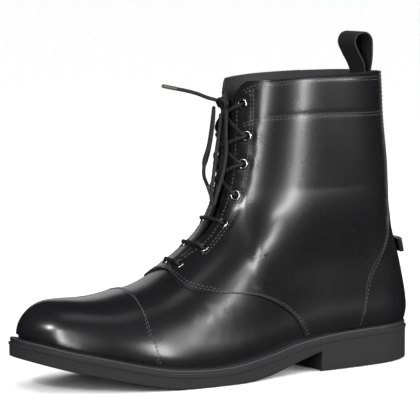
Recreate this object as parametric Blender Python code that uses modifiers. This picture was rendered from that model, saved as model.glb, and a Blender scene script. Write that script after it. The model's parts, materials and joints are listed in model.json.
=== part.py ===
"""Paddock boot, left foot: a leather lace-up riding ankle boot on a moulded sole.

Toe toward -X, outer side toward -Y, floor at z = 0. The origin is the middle of the sole's length
and of the boot's width on the floor. All lengths are metres.
"""

import math

import bpy
import bmesh
import numpy as np
from mathutils import Matrix, Vector

MM = 0.001

# driving sizes
LENGTH = 290 * MM
BALL_WIDTH = 98 * MM
HEEL_HEIGHT = 13 * MM
SHAFT_HEIGHT = 191 * MM
WELT_WIDTH = 5.6 * MM
WELT_THICK = 3.2 * MM
LEATHER = 2.0 * MM
OVERLAY = 1.1 * MM
COUNTER_THICK = 0.9 * MM
GAP = 0.3 * MM
INSOLE_THICK = 2.6 * MM
TONGUE_THICK = 1.8 * MM
TONGUE_GAP = 1.5 * MM
TONGUE_HALF = 17 * MM
TONGUE_START = 0.452
TONGUE_END = 0.955
LACE = 2.4 * MM
# how far the collar's sides rise above its ends, outer and inner
COLLAR_RISE = {-1: 2.4 * MM, 1: 0.8 * MM}

# the sole from above: share of the length from the toe, outer and inner edge as shares of BALL_WIDTH
SOLE_OUTLINE = (
    # along, outer, inner
    (0.000, 0.092, 0.092),
    (0.005, 0.015, 0.173),
    (0.019, -0.061, 0.245),
    (0.048, -0.158, 0.316),
    (0.090, -0.245, 0.378),
    (0.159, -0.357, 0.439),
    (0.214, -0.423, 0.469),
    (0.279, -0.474, 0.490),
    (0.338, -0.497, 0.485),
    (0.417, -0.502, 0.454),
    (0.483, -0.485, 0.398),
    (0.555, -0.434, 0.347),
    (0.624, -0.388, 0.321),
    (0.707, -0.367, 0.321),
    (0.776, -0.357, 0.332),
    (0.834, -0.342, 0.337),
    (0.907, -0.301, 0.306),
    (0.962, -0.209, 0.209),
    (0.990, -0.112, 0.112),
    (1.000, 0.000, 0.000),
)
# the sole from the side: share of the length from the toe, underside and top edge in heel heights
SOLE_SIDE = (
    # along, under, top
    (0.000, 1.62, 2.31),
    (0.048, 1.30, 2.04),
    (0.090, 1.04, 1.77),
    (0.159, 0.68, 1.42),
    (0.214, 0.40, 1.12),
    (0.272, 0.15, 0.86),
    (0.321, 0.00, 0.72),
    (0.417, 0.00, 0.65),
    (0.483, 0.00, 0.77),
    (0.555, 0.17, 0.97),
    (0.624, 0.54, 1.27),
    (0.700, 1.00, 1.52),
    (0.803, 1.00, 1.66),
    (1.000, 1.00, 1.69),
)
BREAST = 0.700
BREAST_HOLLOW = 2.5 * MM
# the upper's front line from the feather at the toe to the collar, shares of LENGTH and SHAFT_HEIGHT
FRONT_LINE = (
    # along, high
    (0.0225, 0.150),
    (0.0215, 0.187),
    (0.0270, 0.225),
    (0.044, 0.259),
    (0.074, 0.280),
    (0.114, 0.285),
    (0.155, 0.284),
    (0.197, 0.288),
    (0.234, 0.298),
    (0.272, 0.311),
    (0.314, 0.3305),
    (0.352, 0.360),
    (0.386, 0.3935),
    (0.4235, 0.436),
    (0.457, 0.482),
    (0.483, 0.535),
    (0.504, 0.612),
    (0.5155, 0.702),
    (0.5215, 0.785),
    (0.526, 0.864),
    (0.530, 0.942),
    (0.532, 0.990),
)
BACK_LINE = (
    # along, high
    (0.980, 0.115),
    (0.988, 0.141),
    (0.9915, 0.173),
    (0.9895, 0.230),
    (0.9805, 0.298),
    (0.968, 0.372),
    (0.956, 0.424),
    (0.9465, 0.466),
    (0.939, 0.524),
    (0.935, 0.560),
    (0.933, 0.618),
    (0.928, 0.712),
    (0.921, 0.785),
    (0.914, 0.864),
    (0.909, 0.958),
    (0.906, 1.010),
)
# where the upper sits on the heel, as a share of the shaft height and in heel heights
SEAT_SHARE = 0.115
SEAT_HEELS = 1.69
# half widths of the shaft's level ovals, shares of SHAFT_HEIGHT
SHAFT_OVAL = (
    # high, half
    (0.21, 0.205),
    (0.31, 0.200),
    (0.47, 0.190),
    (0.63, 0.181),
    (0.785, 0.186),
    (1.01, 0.194),
)
# half the open throat, by height, on the outer and the inner side
THROAT = (
    # high, outer_mm, inner_mm
    (0.369, 1.2, 1.2),
    (0.440, 3.0, 3.0),
    (0.520, 4.5, 4.5),
    (0.910, 4.5, 4.5),
    (0.945, 6.0, 8.0),
    (0.960, 8.0, 11.5),
    (0.972, 9.5, 15.0),
    (0.985, 12.5, 19.5),
    (1.000, 18.0, 25.0),
)
THROAT_START = 0.369
# edges of the overlays as seen from the side, share of LENGTH and of SHAFT_HEIGHT
QUARTER_EDGE = (
    (0.3680, 0.383),
    (0.3630, 0.372),
    (0.3572, 0.3603),
    (0.3520, 0.345),
    (0.3535, 0.329),
    (0.3700, 0.3130),
    (0.4110, 0.302),
    (0.472, 0.296),
    (0.519, 0.285),
    (0.561, 0.261),
    (0.591, 0.238),
    (0.621, 0.210),
    (0.642, 0.176),
    (0.662, 0.125),
    (0.672, 0.060),
)
CAP_EDGE = (
    (0.2735, 0.335),
    (0.2680, 0.318),
    (0.2620, 0.3055),
    (0.2565, 0.2930),
    (0.2545, 0.2762),
    (0.2566, 0.2411),
    (0.2595, 0.2039),
    (0.2620, 0.1582),
    (0.2668, 0.1236),
    (0.2734, 0.098),
    (0.2800, 0.020),
)
COUNTER_EDGE = (
    (0.809, 0.060),
    (0.817, 0.157),
    (0.8285, 0.225),
    (0.8345, 0.275),
    (0.843, 0.314),
    (0.8605, 0.354),
    (0.886, 0.400),
    (0.905, 0.450),
    (0.912, 0.500),
    (0.909, 0.560),
    (0.903, 0.680),
    (0.8955, 0.785),
    (0.890, 0.890),
    (0.884, 1.060),
)
# eyelets on the outer side, from below; the inner side mirrors them
EYELETS = (
    # along, high
    (0.3806, 0.3837),
    (0.4336, 0.4364),
    (0.4854, 0.5163),
    (0.5174, 0.6091),
    (0.5334, 0.7155),
    (0.5408, 0.8101),
    (0.5382, 0.9175),
)
EYELET_OUTER = 3.7 * MM
EYELET_BARREL = 2.4 * MM
EYELET_HOLE = 1.9 * MM
EYELET_CUT = 2.75 * MM

ROWS_BELOW = 9
ROWS_ABOVE = 8
COLUMNS = 19
# how closely the columns crowd toward the front and back lines
END_CROWDING = 0.62
EDGE_STATIONS = 34


def at_length(share):
    """X of a share of the length counted from the toe."""
    return (share - 0.5) * LENGTH


def at_height(share):
    """Z of a share of the shaft height, counted so that the heel seat keeps to the heel."""
    seat = SEAT_HEELS * HEEL_HEIGHT
    return seat + (share - SEAT_SHARE) / (1.0 - SEAT_SHARE) * (SHAFT_HEIGHT - seat)


def smooth_line(points, count):
    """Evenly spaced samples of a smooth line through the points."""
    knots = np.asarray(points, float)
    steps = np.sqrt(np.linalg.norm(np.diff(knots, axis=0), axis=1))
    along = np.concatenate([[0.0], np.cumsum(steps)])
    slope = np.gradient(knots, along, axis=0)
    fine = np.linspace(0.0, along[-1], 60 * len(knots))
    piece = np.clip(np.searchsorted(along, fine, side="right") - 1, 0, len(along) - 2)
    span = (along[piece + 1] - along[piece])[:, None]
    part = (fine - along[piece])[:, None] / span
    start = (2 * part**3 - 3 * part**2 + 1) * knots[piece] + (part**3 - 2 * part**2 + part) * span * slope[piece]
    end = (3 * part**2 - 2 * part**3) * knots[piece + 1] + (part**3 - part**2) * span * slope[piece + 1]
    line = start + end
    run = np.concatenate([[0.0], np.cumsum(np.linalg.norm(np.diff(line, axis=0), axis=1))])
    want = np.linspace(0.0, run[-1], count)
    return np.stack([np.interp(want, run, line[:, i]) for i in range(knots.shape[1])], 1)


def side_points(table):
    """A table of shares of length and shaft height as X and Z."""
    return [(at_length(along), at_height(high)) for along, high in table]


def rising(points):
    """The points whose X still grows, for use as a lookup."""
    top = np.maximum.accumulate(points[:, 0])
    keep = np.concatenate([[True], np.diff(top) > 0])
    return points[keep]


def sole_edges():
    """The sole's outer and inner edge from toe to heel, as fine lines."""
    outer = [(at_length(along), near * BALL_WIDTH) for along, near, far in SOLE_OUTLINE]
    inner = [(at_length(along), far * BALL_WIDTH) for along, near, far in SOLE_OUTLINE]
    loop = outer + inner[::-1][1:-1]
    wrap = 6
    line = smooth_line(loop[-wrap:] + loop + loop[: wrap + 1], 1400)
    half = len(line) // 2
    toe = line[:half, 0].argmin()
    heel = toe + line[toe:, 0].argmax()
    end = heel + line[heel:, 0].argmin()
    outer_line = line[toe : heel + 1]
    inner_line = line[heel : end + 1][::-1]
    return outer_line, inner_line


def inset_edges(amount):
    """The sole's two edges moved inward, each as a lookup from X to Y that meets at both tips."""
    outer, inner = sole_edges()
    loop = np.concatenate([outer, inner[::-1][1:]])
    ahead = np.roll(loop, -1, 0) - np.roll(loop, 1, 0)
    normal = np.stack([-ahead[:, 1], ahead[:, 0]], 1)
    normal /= np.maximum(np.linalg.norm(normal, axis=1)[:, None], 1e-9)
    moved = loop + normal * amount
    toe = moved[:, 0].argmin()
    moved = np.roll(moved, -toe, 0)
    heel = moved[:, 0].argmax()
    first = rising(moved[: heel + 1])
    second = rising(np.concatenate([moved[heel:], moved[:1]])[::-1])
    return first, second


TOP_EDGE = smooth_line([(at_length(a), top * HEEL_HEIGHT) for a, under, top in SOLE_SIDE], 400)
FRONT = smooth_line(side_points(FRONT_LINE), 600)
BACK = smooth_line(side_points(BACK_LINE), 400)
FEATHER = inset_edges(WELT_WIDTH)
TOE_X = FEATHER[0][0, 0]
HEEL_X = FEATHER[0][-1, 0]
RIDGE = rising(FRONT[FRONT[:, 0].argmin() :])
TOE_FACE = FRONT[: np.searchsorted(FRONT[:, 1], at_height(0.285))]
THROAT_FACE = FRONT[FRONT[:, 0] > at_length(0.20)]


def sole_top(x):
    """Height of the sole's top edge."""
    return np.interp(x, TOP_EDGE[:, 0], TOP_EDGE[:, 1])


def ease(low, high, value):
    """A soft step from 0 to 1."""
    share = np.clip((value - low) / (high - low), 0.0, 1.0)
    return share * share * (3.0 - 2.0 * share)


def ridge_height(x):
    """Height of the vamp's ridge, which climbs out of reach behind the shaft's front."""
    last = RIDGE[-1]
    return np.where(x > last[0], last[1] + (x - last[0]) * 40.0, np.interp(x, RIDGE[:, 0], RIDGE[:, 1]))


def skin_y(x, z, side):
    """Y of the upper's outer face at a point of the side view; side is -1 outer, 1 inner."""
    base = sole_top(x)
    toe_move = np.interp(z, TOE_FACE[:, 1], TOE_FACE[:, 0]) - TOE_X
    heel_move = np.interp(z, BACK[:, 1], BACK[:, 0]) - HEEL_X
    near_toe = 1.0 - ease(at_length(0.02), at_length(0.17), x)
    near_heel = ease(at_length(0.74), at_length(0.965), x)
    foot_x = np.clip(x - toe_move * near_toe - heel_move * near_heel, TOE_X, HEEL_X)
    outer = np.interp(foot_x, FEATHER[0][:, 0], FEATHER[0][:, 1])
    inner = np.interp(foot_x, FEATHER[1][:, 0], FEATHER[1][:, 1])
    middle = (outer + inner) / 2.0
    half = (inner - outer) / 2.0
    lift = z - base
    swell = 1.0 * MM * np.exp(-(((lift - 12 * MM) / (9 * MM)) ** 2)) - 1.0 * MM * np.exp(-lift / (4 * MM))
    half = half + swell * np.clip(half / (12 * MM), 0.0, 1.0)
    rise = np.clip(lift / (ridge_height(x) - base), 0.0, 1.0)
    foot = half * (1.0 - rise**2.5) ** (1 / 2.2)
    front = np.interp(z, THROAT_FACE[:, 1], THROAT_FACE[:, 0])
    back = np.interp(z, BACK[:, 1], BACK[:, 0])
    share = np.clip((x - front) / (back - front), 0.0, 1.0)
    ovals = np.array(SHAFT_OVAL) * SHAFT_HEIGHT
    shaft = np.interp(z, ovals[:, 0], ovals[:, 1]) * np.clip(4 * share * (1 - share), 0.0, 1.0) ** 0.475
    blend = ease(at_height(0.345), at_height(0.62), z)
    return (1 - blend) * (middle + side * foot) + blend * (side * shaft - 1.0 * MM)


def build_row(level, side, gap, columns, reach=None):
    """Vertices of one side of a row, starting at the throat's edge when there is a gap."""
    first = FRONT[int(round(level * (len(FRONT) - 1)))]
    last = BACK[int(round(level * (len(BACK) - 1)))]
    turn = np.linspace(0.0, math.pi, 1441)
    share = (1.0 - np.cos(turn)) / 2.0
    x = first[0] + (last[0] - first[0]) * share
    straight = sole_top(first[0]) * (1.0 - share) + sole_top(last[0]) * share
    z = first[1] + (last[1] - first[1]) * share
    z = z + (1.0 - level) ** 2.2 * (sole_top(x) - straight) + COLLAR_RISE[side] * level**3 * np.sin(turn)
    z = np.maximum(z, sole_top(x) + GAP)
    y = skin_y(x, z, side)
    other = skin_y(x, z, -side)
    half = np.abs(y - other) / 2.0
    middle = (y + other) / 2.0
    start = 0 if gap <= 0.0 else int(np.argmax(half >= gap))
    stop = len(turn) - 1 if reach is None else int(np.argmax(half >= reach))
    face = np.stack([x, middle + side * half, z], 1)[start : stop + 1]
    run = np.concatenate([[0.0], np.cumsum(np.linalg.norm(np.diff(face, axis=0), axis=1))])
    even = np.linspace(0.0, 1.0, columns + 1)
    crowded = even - END_CROWDING * np.sin(2 * math.pi * even) / (2 * math.pi)
    picks = np.interp(crowded * run[-1], run, turn[start : stop + 1])
    points = []
    for index, angle in enumerate(picks):
        px, pz, pm = (np.interp(angle, turn, values) for values in (x, z, middle))
        ph = np.interp(angle, turn, half)
        if index == 0 and gap <= 0.0 or index == columns and reach is None:
            ph = 0.0
        points.append((px, pm + side * ph, pz))
    return points


def throat_half(height, side):
    """Half the open throat at a height, on one side."""
    table = np.array(THROAT)
    column = 1 if side < 0 else 2
    return float(np.interp(height / SHAFT_HEIGHT, table[:, 0], table[:, column])) * MM


def levels():
    """Row levels: close at the feather, one at the throat's foot and one just above it."""
    foot = float(np.interp(at_height(THROAT_START), FRONT[:, 1], np.linspace(0.0, 1.0, len(FRONT))))
    below = np.linspace(0.042, foot, ROWS_BELOW)
    above = np.linspace(foot + 0.045, 0.955, ROWS_ABOVE)
    return [0.0, 0.0125, *below, foot + 0.007, *above, 0.98, 1.0]


def mesh_object(name, vertices, faces, collection):
    """A mesh object from vertices and faces, with faces wound outward."""
    mesh = bpy.data.meshes.new(name)
    mesh.from_pydata([tuple(v) for v in vertices], [], faces)
    mesh.validate()
    work = bmesh.new()
    work.from_mesh(mesh)
    bmesh.ops.remove_doubles(work, verts=work.verts, dist=0.01 * MM)
    bmesh.ops.recalc_face_normals(work, faces=work.faces)
    work.to_mesh(mesh)
    work.free()
    thing = bpy.data.objects.new(name, mesh)
    collection.objects.link(thing)
    return thing


def skin_sheet(name, row_levels, columns, offset, collection, open_throat=True, reach=None):
    """An open sheet on the upper's outer face, moved outward by the offset along its normals."""
    vertices, faces = [], []
    for side in (-1, 1):
        rows = []
        for level in row_levels:
            height = FRONT[int(round(level * (len(FRONT) - 1)))][1]
            opened = open_throat and height > at_height(THROAT_START)
            gap = throat_half(height, side) if opened else 0.0
            row = build_row(level, side, gap, columns, reach)
            rows.append(list(range(len(vertices), len(vertices) + len(row))))
            vertices.extend(row)
        for low, high in zip(rows, rows[1:]):
            for j in range(columns):
                for corners in ((low[j], low[j + 1], high[j + 1]), (low[j], high[j + 1], high[j])):
                    faces.append(corners if side < 0 else corners[::-1])
    mesh = bpy.data.meshes.new(name)
    mesh.from_pydata([tuple(v) for v in vertices], [], faces)
    work = bmesh.new()
    work.from_mesh(mesh)
    bmesh.ops.remove_doubles(work, verts=work.verts, dist=0.02 * MM)
    work.normal_update()
    moved = [(v, v.normal * offset) for v in work.verts]
    for vertex, shift in moved:
        vertex.co += shift
    work.to_mesh(mesh)
    work.free()
    thing = bpy.data.objects.new(name, mesh)
    collection.objects.link(thing)
    return thing


def thicken(thing, amount, outward):
    """Give an open sheet a wall of even thickness."""
    solid = thing.modifiers.new("wall", "SOLIDIFY")
    solid.thickness = amount
    solid.offset = 1.0 if outward else -1.0
    solid.use_even_offset = not outward
    apply_modifiers(thing)


def apply_modifiers(thing):
    """Replace the object's mesh by its evaluated mesh."""
    graph = bpy.context.evaluated_depsgraph_get()
    made = bpy.data.meshes.new_from_object(thing.evaluated_get(graph))
    thing.modifiers.clear()
    old = thing.data
    thing.data = made
    bpy.data.meshes.remove(old)


def boolean(thing, cutter, operation):
    """Run one exact Boolean and keep its result."""
    step = thing.modifiers.new(operation.lower(), "BOOLEAN")
    step.operation = operation
    step.solver = "EXACT"
    step.object = cutter
    apply_modifiers(thing)


def side_prism(name, outline, guides, reach=90 * MM):
    """A solid from an outline in the side view, drawn across the boot's width."""
    count = len(outline)
    vertices = [(x, -reach, z) for x, z in outline] + [(x, reach, z) for x, z in outline]
    faces = [tuple(range(count)), tuple(range(2 * count - 1, count - 1, -1))]
    faces += [(i, i + count, (i + 1) % count + count, (i + 1) % count) for i in range(count)]
    return mesh_object(name, vertices, faces, guides)


def edge_ring(amount, height_of, count):
    """Points round the sole's edge at an inset, tip to tip on each side at equal stations."""
    first, second = inset_edges(amount) if amount else sole_edges()
    low = max(first[0, 0], second[0, 0])
    high = min(first[-1, 0], second[-1, 0])
    turn = np.linspace(0.0, math.pi, count + 1)
    x = low + (high - low) * (1.0 - np.cos(turn)) / 2.0
    outer = np.interp(x, first[:, 0], first[:, 1])
    inner = np.interp(x, second[:, 0], second[:, 1])
    outer[0] = inner[0] = (outer[0] + inner[0]) / 2.0
    outer[-1] = inner[-1] = (outer[-1] + inner[-1]) / 2.0
    z = height_of(x)
    near = [(x[i], outer[i], z[i]) for i in range(count + 1)]
    far = [(x[i], inner[i], z[i]) for i in range(count - 1, 0, -1)]
    return near + far


def ring_faces(start, other, count):
    """Quads between two rings of the same size."""
    return [(start + i, start + (i + 1) % count, other + (i + 1) % count, other + i) for i in range(count)]


def cap_faces(start, stations, upward):
    """Faces across a ring made by edge_ring."""
    total = 2 * stations
    faces = []
    for i in range(stations):
        left = start + i
        right = start + i + 1
        far_right = start + (total - i - 1) % total
        far_left = start + (total - i) % total
        face = [left, right, far_right, far_left]
        unique = list(dict.fromkeys(face))
        faces.append(tuple(unique) if upward else tuple(unique[::-1]))
    return faces


def ring_solid(name, rings, stations, collection, closed_ends=True):
    """A solid lofted through rings, capped at both ends or closed on itself."""
    size = 2 * stations
    vertices = [point for ring in rings for point in ring]
    faces = []
    for k in range(len(rings) - 1):
        faces += ring_faces(k * size, (k + 1) * size, size)
    if closed_ends:
        faces += cap_faces(0, stations, True)
        faces += cap_faces((len(rings) - 1) * size, stations, False)
    else:
        faces += ring_faces((len(rings) - 1) * size, 0, size)
    return mesh_object(name, vertices, faces, collection)


def make_outsole(parts, guides):
    """The moulded sole and heel, cut from below by the arch, the toe spring and the tread."""
    lip = 0.7 * MM
    stations = EDGE_STATIONS
    rings = (
        edge_ring(lip, sole_top, stations),
        edge_ring(0.0, lambda x: sole_top(x) - lip, stations),
        edge_ring(0.0, lambda x: sole_top(x) - 2.2 * lip, stations),
        edge_ring(0.5 * MM, lambda x: sole_top(x) - 3.0 * lip, stations),
        edge_ring(0.5 * MM, lambda x: 0.0 * x - 6 * MM, stations),
    )
    sole = ring_solid("outsole", rings, stations, parts)
    under = smooth_line([(at_length(a), u * HEEL_HEIGHT) for a, u, t in SOLE_SIDE if a <= BREAST], 60)
    under[:, 1] = np.maximum(under[:, 1], 0.0)
    under[0, 0] -= 20 * MM
    rows = []
    across = (-70 * MM, -38 * MM, -25 * MM, -12 * MM, 0.0, 12 * MM, 25 * MM, 38 * MM, 70 * MM)
    for y in across:
        hollow = BREAST_HOLLOW * max(0.0, 1.0 - (y / (36 * MM)) ** 2)
        row = [(x + hollow * ease(at_length(0.64), at_length(BREAST), x), y, z) for x, z in under]
        breast_x = at_length(BREAST) + hollow
        row += [(breast_x, y, 0.0), (LENGTH, y, 0.0), (LENGTH, y, -20 * MM), (-LENGTH, y, -20 * MM)]
        row += [(-LENGTH, y, under[0, 1])]
        rows.append(row)
    size = len(rows[0])
    vertices = [point for row in rows for point in row]
    faces = [tuple(range(size)), tuple(range(len(vertices) - 1, len(vertices) - size - 1, -1))]
    for k in range(len(rows) - 1):
        faces += ring_faces(k * size, (k + 1) * size, size)
    floor = mesh_object("guide_floor", vertices, faces, guides)
    boolean(sole, floor, "DIFFERENCE")
    grooves_v, grooves_f = [], []
    for centre in (-46, -33, -20, -7, 78, 94, 110, 126):
        for corner_z in (-2 * MM, 1.2 * MM):
            for dx, dy in ((-1.2, -60), (1.2, -60), (1.2, 60), (-1.2, 60)):
                grooves_v.append(((centre + dx) * MM, dy * MM, corner_z))
        b = len(grooves_v) - 8
        grooves_f += [(b, b + 3, b + 2, b + 1), (b + 4, b + 5, b + 6, b + 7)]
        grooves_f += [(b + i, b + (i + 1) % 4, b + 4 + (i + 1) % 4, b + 4 + i) for i in range(4)]
    grooves = mesh_object("guide_tread", grooves_v, grooves_f, guides)
    boolean(sole, grooves, "DIFFERENCE")
    return sole


def welt_inner(lift):
    """Ring just outside the upper at a height above the sole's top."""
    stations = EDGE_STATIONS
    level = 0.0125
    points = []
    near = build_row(level, -1, 0.0, stations)
    far = build_row(level, 1, 0.0, stations)
    loop = near + far[-2:0:-1]
    flat = np.array([(p[0], p[1]) for p in loop])
    ahead = np.roll(flat, -1, 0) - np.roll(flat, 1, 0)
    normal = np.stack([ahead[:, 1], -ahead[:, 0]], 1)
    normal /= np.linalg.norm(normal, axis=1)[:, None]
    moved = flat + normal * (GAP + 0.25 * MM)
    for x, y in moved:
        points.append((x, y, float(sole_top(x)) + lift))
    return points


def make_welt(parts):
    """A thin strip between sole and upper, standing proud and falling to its outer edge."""
    stations = EDGE_STATIONS
    low = GAP
    rings = (
        welt_inner(low),
        welt_inner(WELT_THICK),
        edge_ring(2.2 * MM, lambda x: sole_top(x) + WELT_THICK - 0.4 * MM, stations),
        edge_ring(1.0 * MM, lambda x: sole_top(x) + WELT_THICK - 1.3 * MM, stations),
        edge_ring(0.8 * MM, lambda x: sole_top(x) + low, stations),
    )
    return ring_solid("welt", rings, stations, parts, closed_ends=False)


def make_insole(parts):
    """The footbed lying on the sole inside the upper."""
    amount = WELT_WIDTH + LEATHER + 2.0 * MM
    stations = 26
    rings = (
        edge_ring(amount, lambda x: sole_top(x) + GAP + INSOLE_THICK, stations),
        edge_ring(amount, lambda x: sole_top(x) + GAP, stations),
    )
    return ring_solid("insole", rings, stations, parts)


def across_front(level, across):
    """The upper's face at a distance across from the front line, on the section square to that line."""
    last = len(FRONT) - 1
    spot = int(np.clip(round(level * last), 1, last - 1))
    ahead = FRONT[spot + 1] - FRONT[spot - 1]
    ahead /= np.linalg.norm(ahead)
    inward = np.array([ahead[1], -ahead[0]])
    depth = np.linspace(0.0, 32 * MM, 641)
    x = FRONT[spot, 0] + inward[0] * depth
    z = FRONT[spot, 1] + inward[1] * depth
    outer, inner = skin_y(x, z, -1), skin_y(x, z, 1)
    half = np.maximum.accumulate((inner - outer) / 2.0)
    half[0] = 0.0
    found = float(np.interp(abs(across), half, depth))
    middle = float(np.interp(found, depth, (inner + outer) / 2.0))
    return Vector((FRONT[spot, 0] + inward[0] * found, middle + across, FRONT[spot, 1] + inward[1] * found))


def across_normal(level, across):
    """The outward direction of the upper's face at a place given as for across_front."""
    small, near = 0.004, 1.0 * MM
    along = across_front(level + small, across) - across_front(level - small, across)
    over = across_front(level, across + near) - across_front(level, across - near)
    return along.cross(over).normalized()


def eyelet_frame(index, side):
    """Place and outward direction of one eyelet on the upper's face."""
    along, high = EYELETS[index]
    x, z = at_length(along), at_height(high)
    step = 1.5 * MM
    here = Vector((x, float(skin_y(x, z, side)), z))
    dx = Vector((2 * step, float(skin_y(x + step, z, side) - skin_y(x - step, z, side)), 0.0))
    dz = Vector((0.0, float(skin_y(x, z + step, side) - skin_y(x, z - step, side)), 2 * step))
    normal = dx.cross(dz)
    if normal.y * side < 0:
        normal = -normal
    return here, normal.normalized()


def tube_between(name, start, end, radius, sides, collection):
    """A plain cylinder between two points."""
    direction = end - start
    work = bmesh.new()
    bmesh.ops.create_cone(
        work, cap_ends=True, segments=sides, radius1=radius, radius2=radius, depth=direction.length
    )
    turn = Vector((0, 0, 1)).rotation_difference(direction).to_matrix().to_4x4()
    bmesh.ops.transform(work, matrix=Matrix.Translation((start + end) / 2) @ turn, verts=work.verts)
    mesh = bpy.data.meshes.new(name)
    work.to_mesh(mesh)
    work.free()
    thing = bpy.data.objects.new(name, mesh)
    collection.objects.link(thing)
    return thing


def joined(name, things, collection):
    """One mesh object holding several separate closed meshes."""
    work = bmesh.new()
    for thing in things:
        work.from_mesh(thing.data)
    mesh = bpy.data.meshes.new(name)
    work.to_mesh(mesh)
    work.free()
    for thing in things:
        bpy.data.objects.remove(thing)
    made = bpy.data.objects.new(name, mesh)
    collection.objects.link(made)
    return made


def make_eyelet_cutters(guides):
    """Fourteen short rods that open the holes."""
    rods = []
    for side in (-1, 1):
        for index in range(len(EYELETS)):
            here, out = eyelet_frame(index, side)
            rods.append(tube_between("rod", here - out * 6 * MM, here + out * 6 * MM, EYELET_CUT, 10, guides))
    return joined("guide_eyelets", rods, guides)


def make_eyelet(name, index, side, parts):
    """A flanged ring through the quarter and the upper."""
    here, out = eyelet_frame(index, side)
    top = GAP + OVERLAY + 0.65 * MM
    bottom = -LEATHER - 0.1 * MM
    profile = (
        # radius, height above the upper's face
        (EYELET_OUTER, top),
        (EYELET_OUTER - 0.3 * MM, top + 0.55 * MM),
        (EYELET_HOLE + 0.5 * MM, top + 0.75 * MM),
        (EYELET_HOLE, top + 0.2 * MM),
        (EYELET_HOLE, bottom),
        (EYELET_BARREL, bottom),
        (EYELET_BARREL, top),
    )
    sides = 12
    vertices, faces = [], []
    turn = Vector((0, 0, 1)).rotation_difference(out).to_matrix()
    for k in range(sides):
        angle = 2 * math.pi * k / sides
        for radius, height in profile:
            local = Vector((radius * math.cos(angle), radius * math.sin(angle), height))
            vertices.append(here + turn @ local)
    count = len(profile)
    for k in range(sides):
        after = (k + 1) % sides
        for j in range(count):
            jump = (j + 1) % count
            faces.append((k * count + j, k * count + jump, after * count + jump, after * count + j))
    return mesh_object(name, vertices, faces, parts)


def make_upper(parts, holes):
    """The hollow lasted shell, open at collar, throat and underneath."""
    upper = skin_sheet("upper", levels(), COLUMNS, 0.0, parts)
    thicken(upper, LEATHER, outward=False)
    boolean(upper, holes, "DIFFERENCE")
    return upper


def overlay(name, row_levels, offset, thick, outline, keep, parts, guides, holes=None):
    """A jacket over the upper kept inside, or outside, an outline of the side view."""
    jacket = skin_sheet(name, row_levels, COLUMNS, offset, parts)
    thicken(jacket, thick, outward=True)
    prism = side_prism("guide_" + name, outline, guides)
    boolean(jacket, prism, keep)
    if holes is not None:
        boolean(jacket, holes, "DIFFERENCE")
    return jacket


def make_quarters(parts, guides, holes):
    """Both quarters over the vamp, carrying the eyelets."""
    edge = smooth_line(side_points(QUARTER_EDGE), 40)
    first = edge[0]
    outline = [*map(tuple, edge), (edge[-1, 0], -10 * MM), (200 * MM, -10 * MM), (200 * MM, 230 * MM)]
    outline += [(first[0], 230 * MM)]
    rows = [0.0245] + [v for v in levels() if v > 0.03]
    return overlay("quarters", rows, GAP, OVERLAY, outline, "INTERSECT", parts, guides, holes)


def make_cap(parts, guides):
    """The toe cap over the vamp."""
    edge = smooth_line(side_points(CAP_EDGE), 24)
    outline = [*map(tuple, edge), (edge[-1, 0], -10 * MM), (-200 * MM, -10 * MM), (-200 * MM, 90 * MM)]
    outline += [(edge[0, 0], 90 * MM)]
    rows = [0.0225] + [v for v in levels() if 0.03 < v < 0.5]
    return overlay("toe_cap", rows, GAP, OVERLAY, outline, "INTERSECT", parts, guides)


def make_counter(parts, guides):
    """The counter and its strip up the back seam, over the quarters."""
    edge = smooth_line(side_points(COUNTER_EDGE), 30)
    outline = [*map(tuple, edge), (edge[-1, 0], 230 * MM), (200 * MM, 230 * MM), (200 * MM, -10 * MM)]
    outline += [(edge[0, 0], -10 * MM)]
    rows = [0.0310] + [v for v in levels() if 0.04 < v]
    offset = 2.5 * GAP + OVERLAY
    return overlay("counter", rows, offset, COUNTER_THICK, outline, "INTERSECT", parts, guides)


def make_tongue(parts):
    """The tongue under the lacing, inside the upper."""
    widths = np.linspace(-1.0, 1.0, 9) * TONGUE_HALF
    rows = np.linspace(TONGUE_START, TONGUE_END, 17)
    vertices, faces = [], []
    for level in rows:
        for across in widths:
            out = across_normal(level, across)
            vertices.append(across_front(level, across) - out * (LEATHER + TONGUE_GAP))
    size = len(widths)
    for k in range(len(rows) - 1):
        for j in range(size - 1):
            first = k * size + j
            faces.append((first, first + 1, first + size + 1, first + size))
    mesh = bpy.data.meshes.new("tongue")
    mesh.from_pydata([tuple(v) for v in vertices], [], faces)
    sheet = bpy.data.objects.new("tongue", mesh)
    parts.objects.link(sheet)
    outward = mesh.polygons[len(mesh.polygons) // 2].normal.x < 0
    thicken(sheet, TONGUE_THICK, outward=not outward)
    return sheet


def make_spur_rest(parts):
    """A small leather tab standing off the back above the heel."""
    x, z = at_length(0.963), at_height(0.397)
    wide, tall, thick = 11 * MM, 9 * MM, 3.0 * MM
    stand = 2 * GAP + OVERLAY + COUNTER_THICK + GAP
    profile = ((stand + 0.6 * MM, -0.5), (stand + 0.6 * MM + thick * 0.6, -0.5), (stand + thick + 1.4 * MM, 0.5))
    profile += ((stand + 1.4 * MM, 0.5),)
    vertices, faces = [], []
    across = np.linspace(-1.0, 1.0, 7)
    for share in across:
        y = share * wide - 1.0 * MM
        for off, up in profile:
            height = z + up * tall
            back = float(np.interp(height, BACK[:, 1], BACK[:, 0]))
            bow = 28 * MM - math.sqrt((28 * MM) ** 2 - (share * wide) ** 2)
            vertices.append((back + off - bow, y, height))
    for k in range(len(across) - 1):
        faces += ring_faces(k * 4, (k + 1) * 4, 4)
    faces += [(0, 1, 2, 3), tuple(len(vertices) - 1 - i for i in range(4))]
    return mesh_object("spur_rest", vertices, faces, parts)


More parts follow.
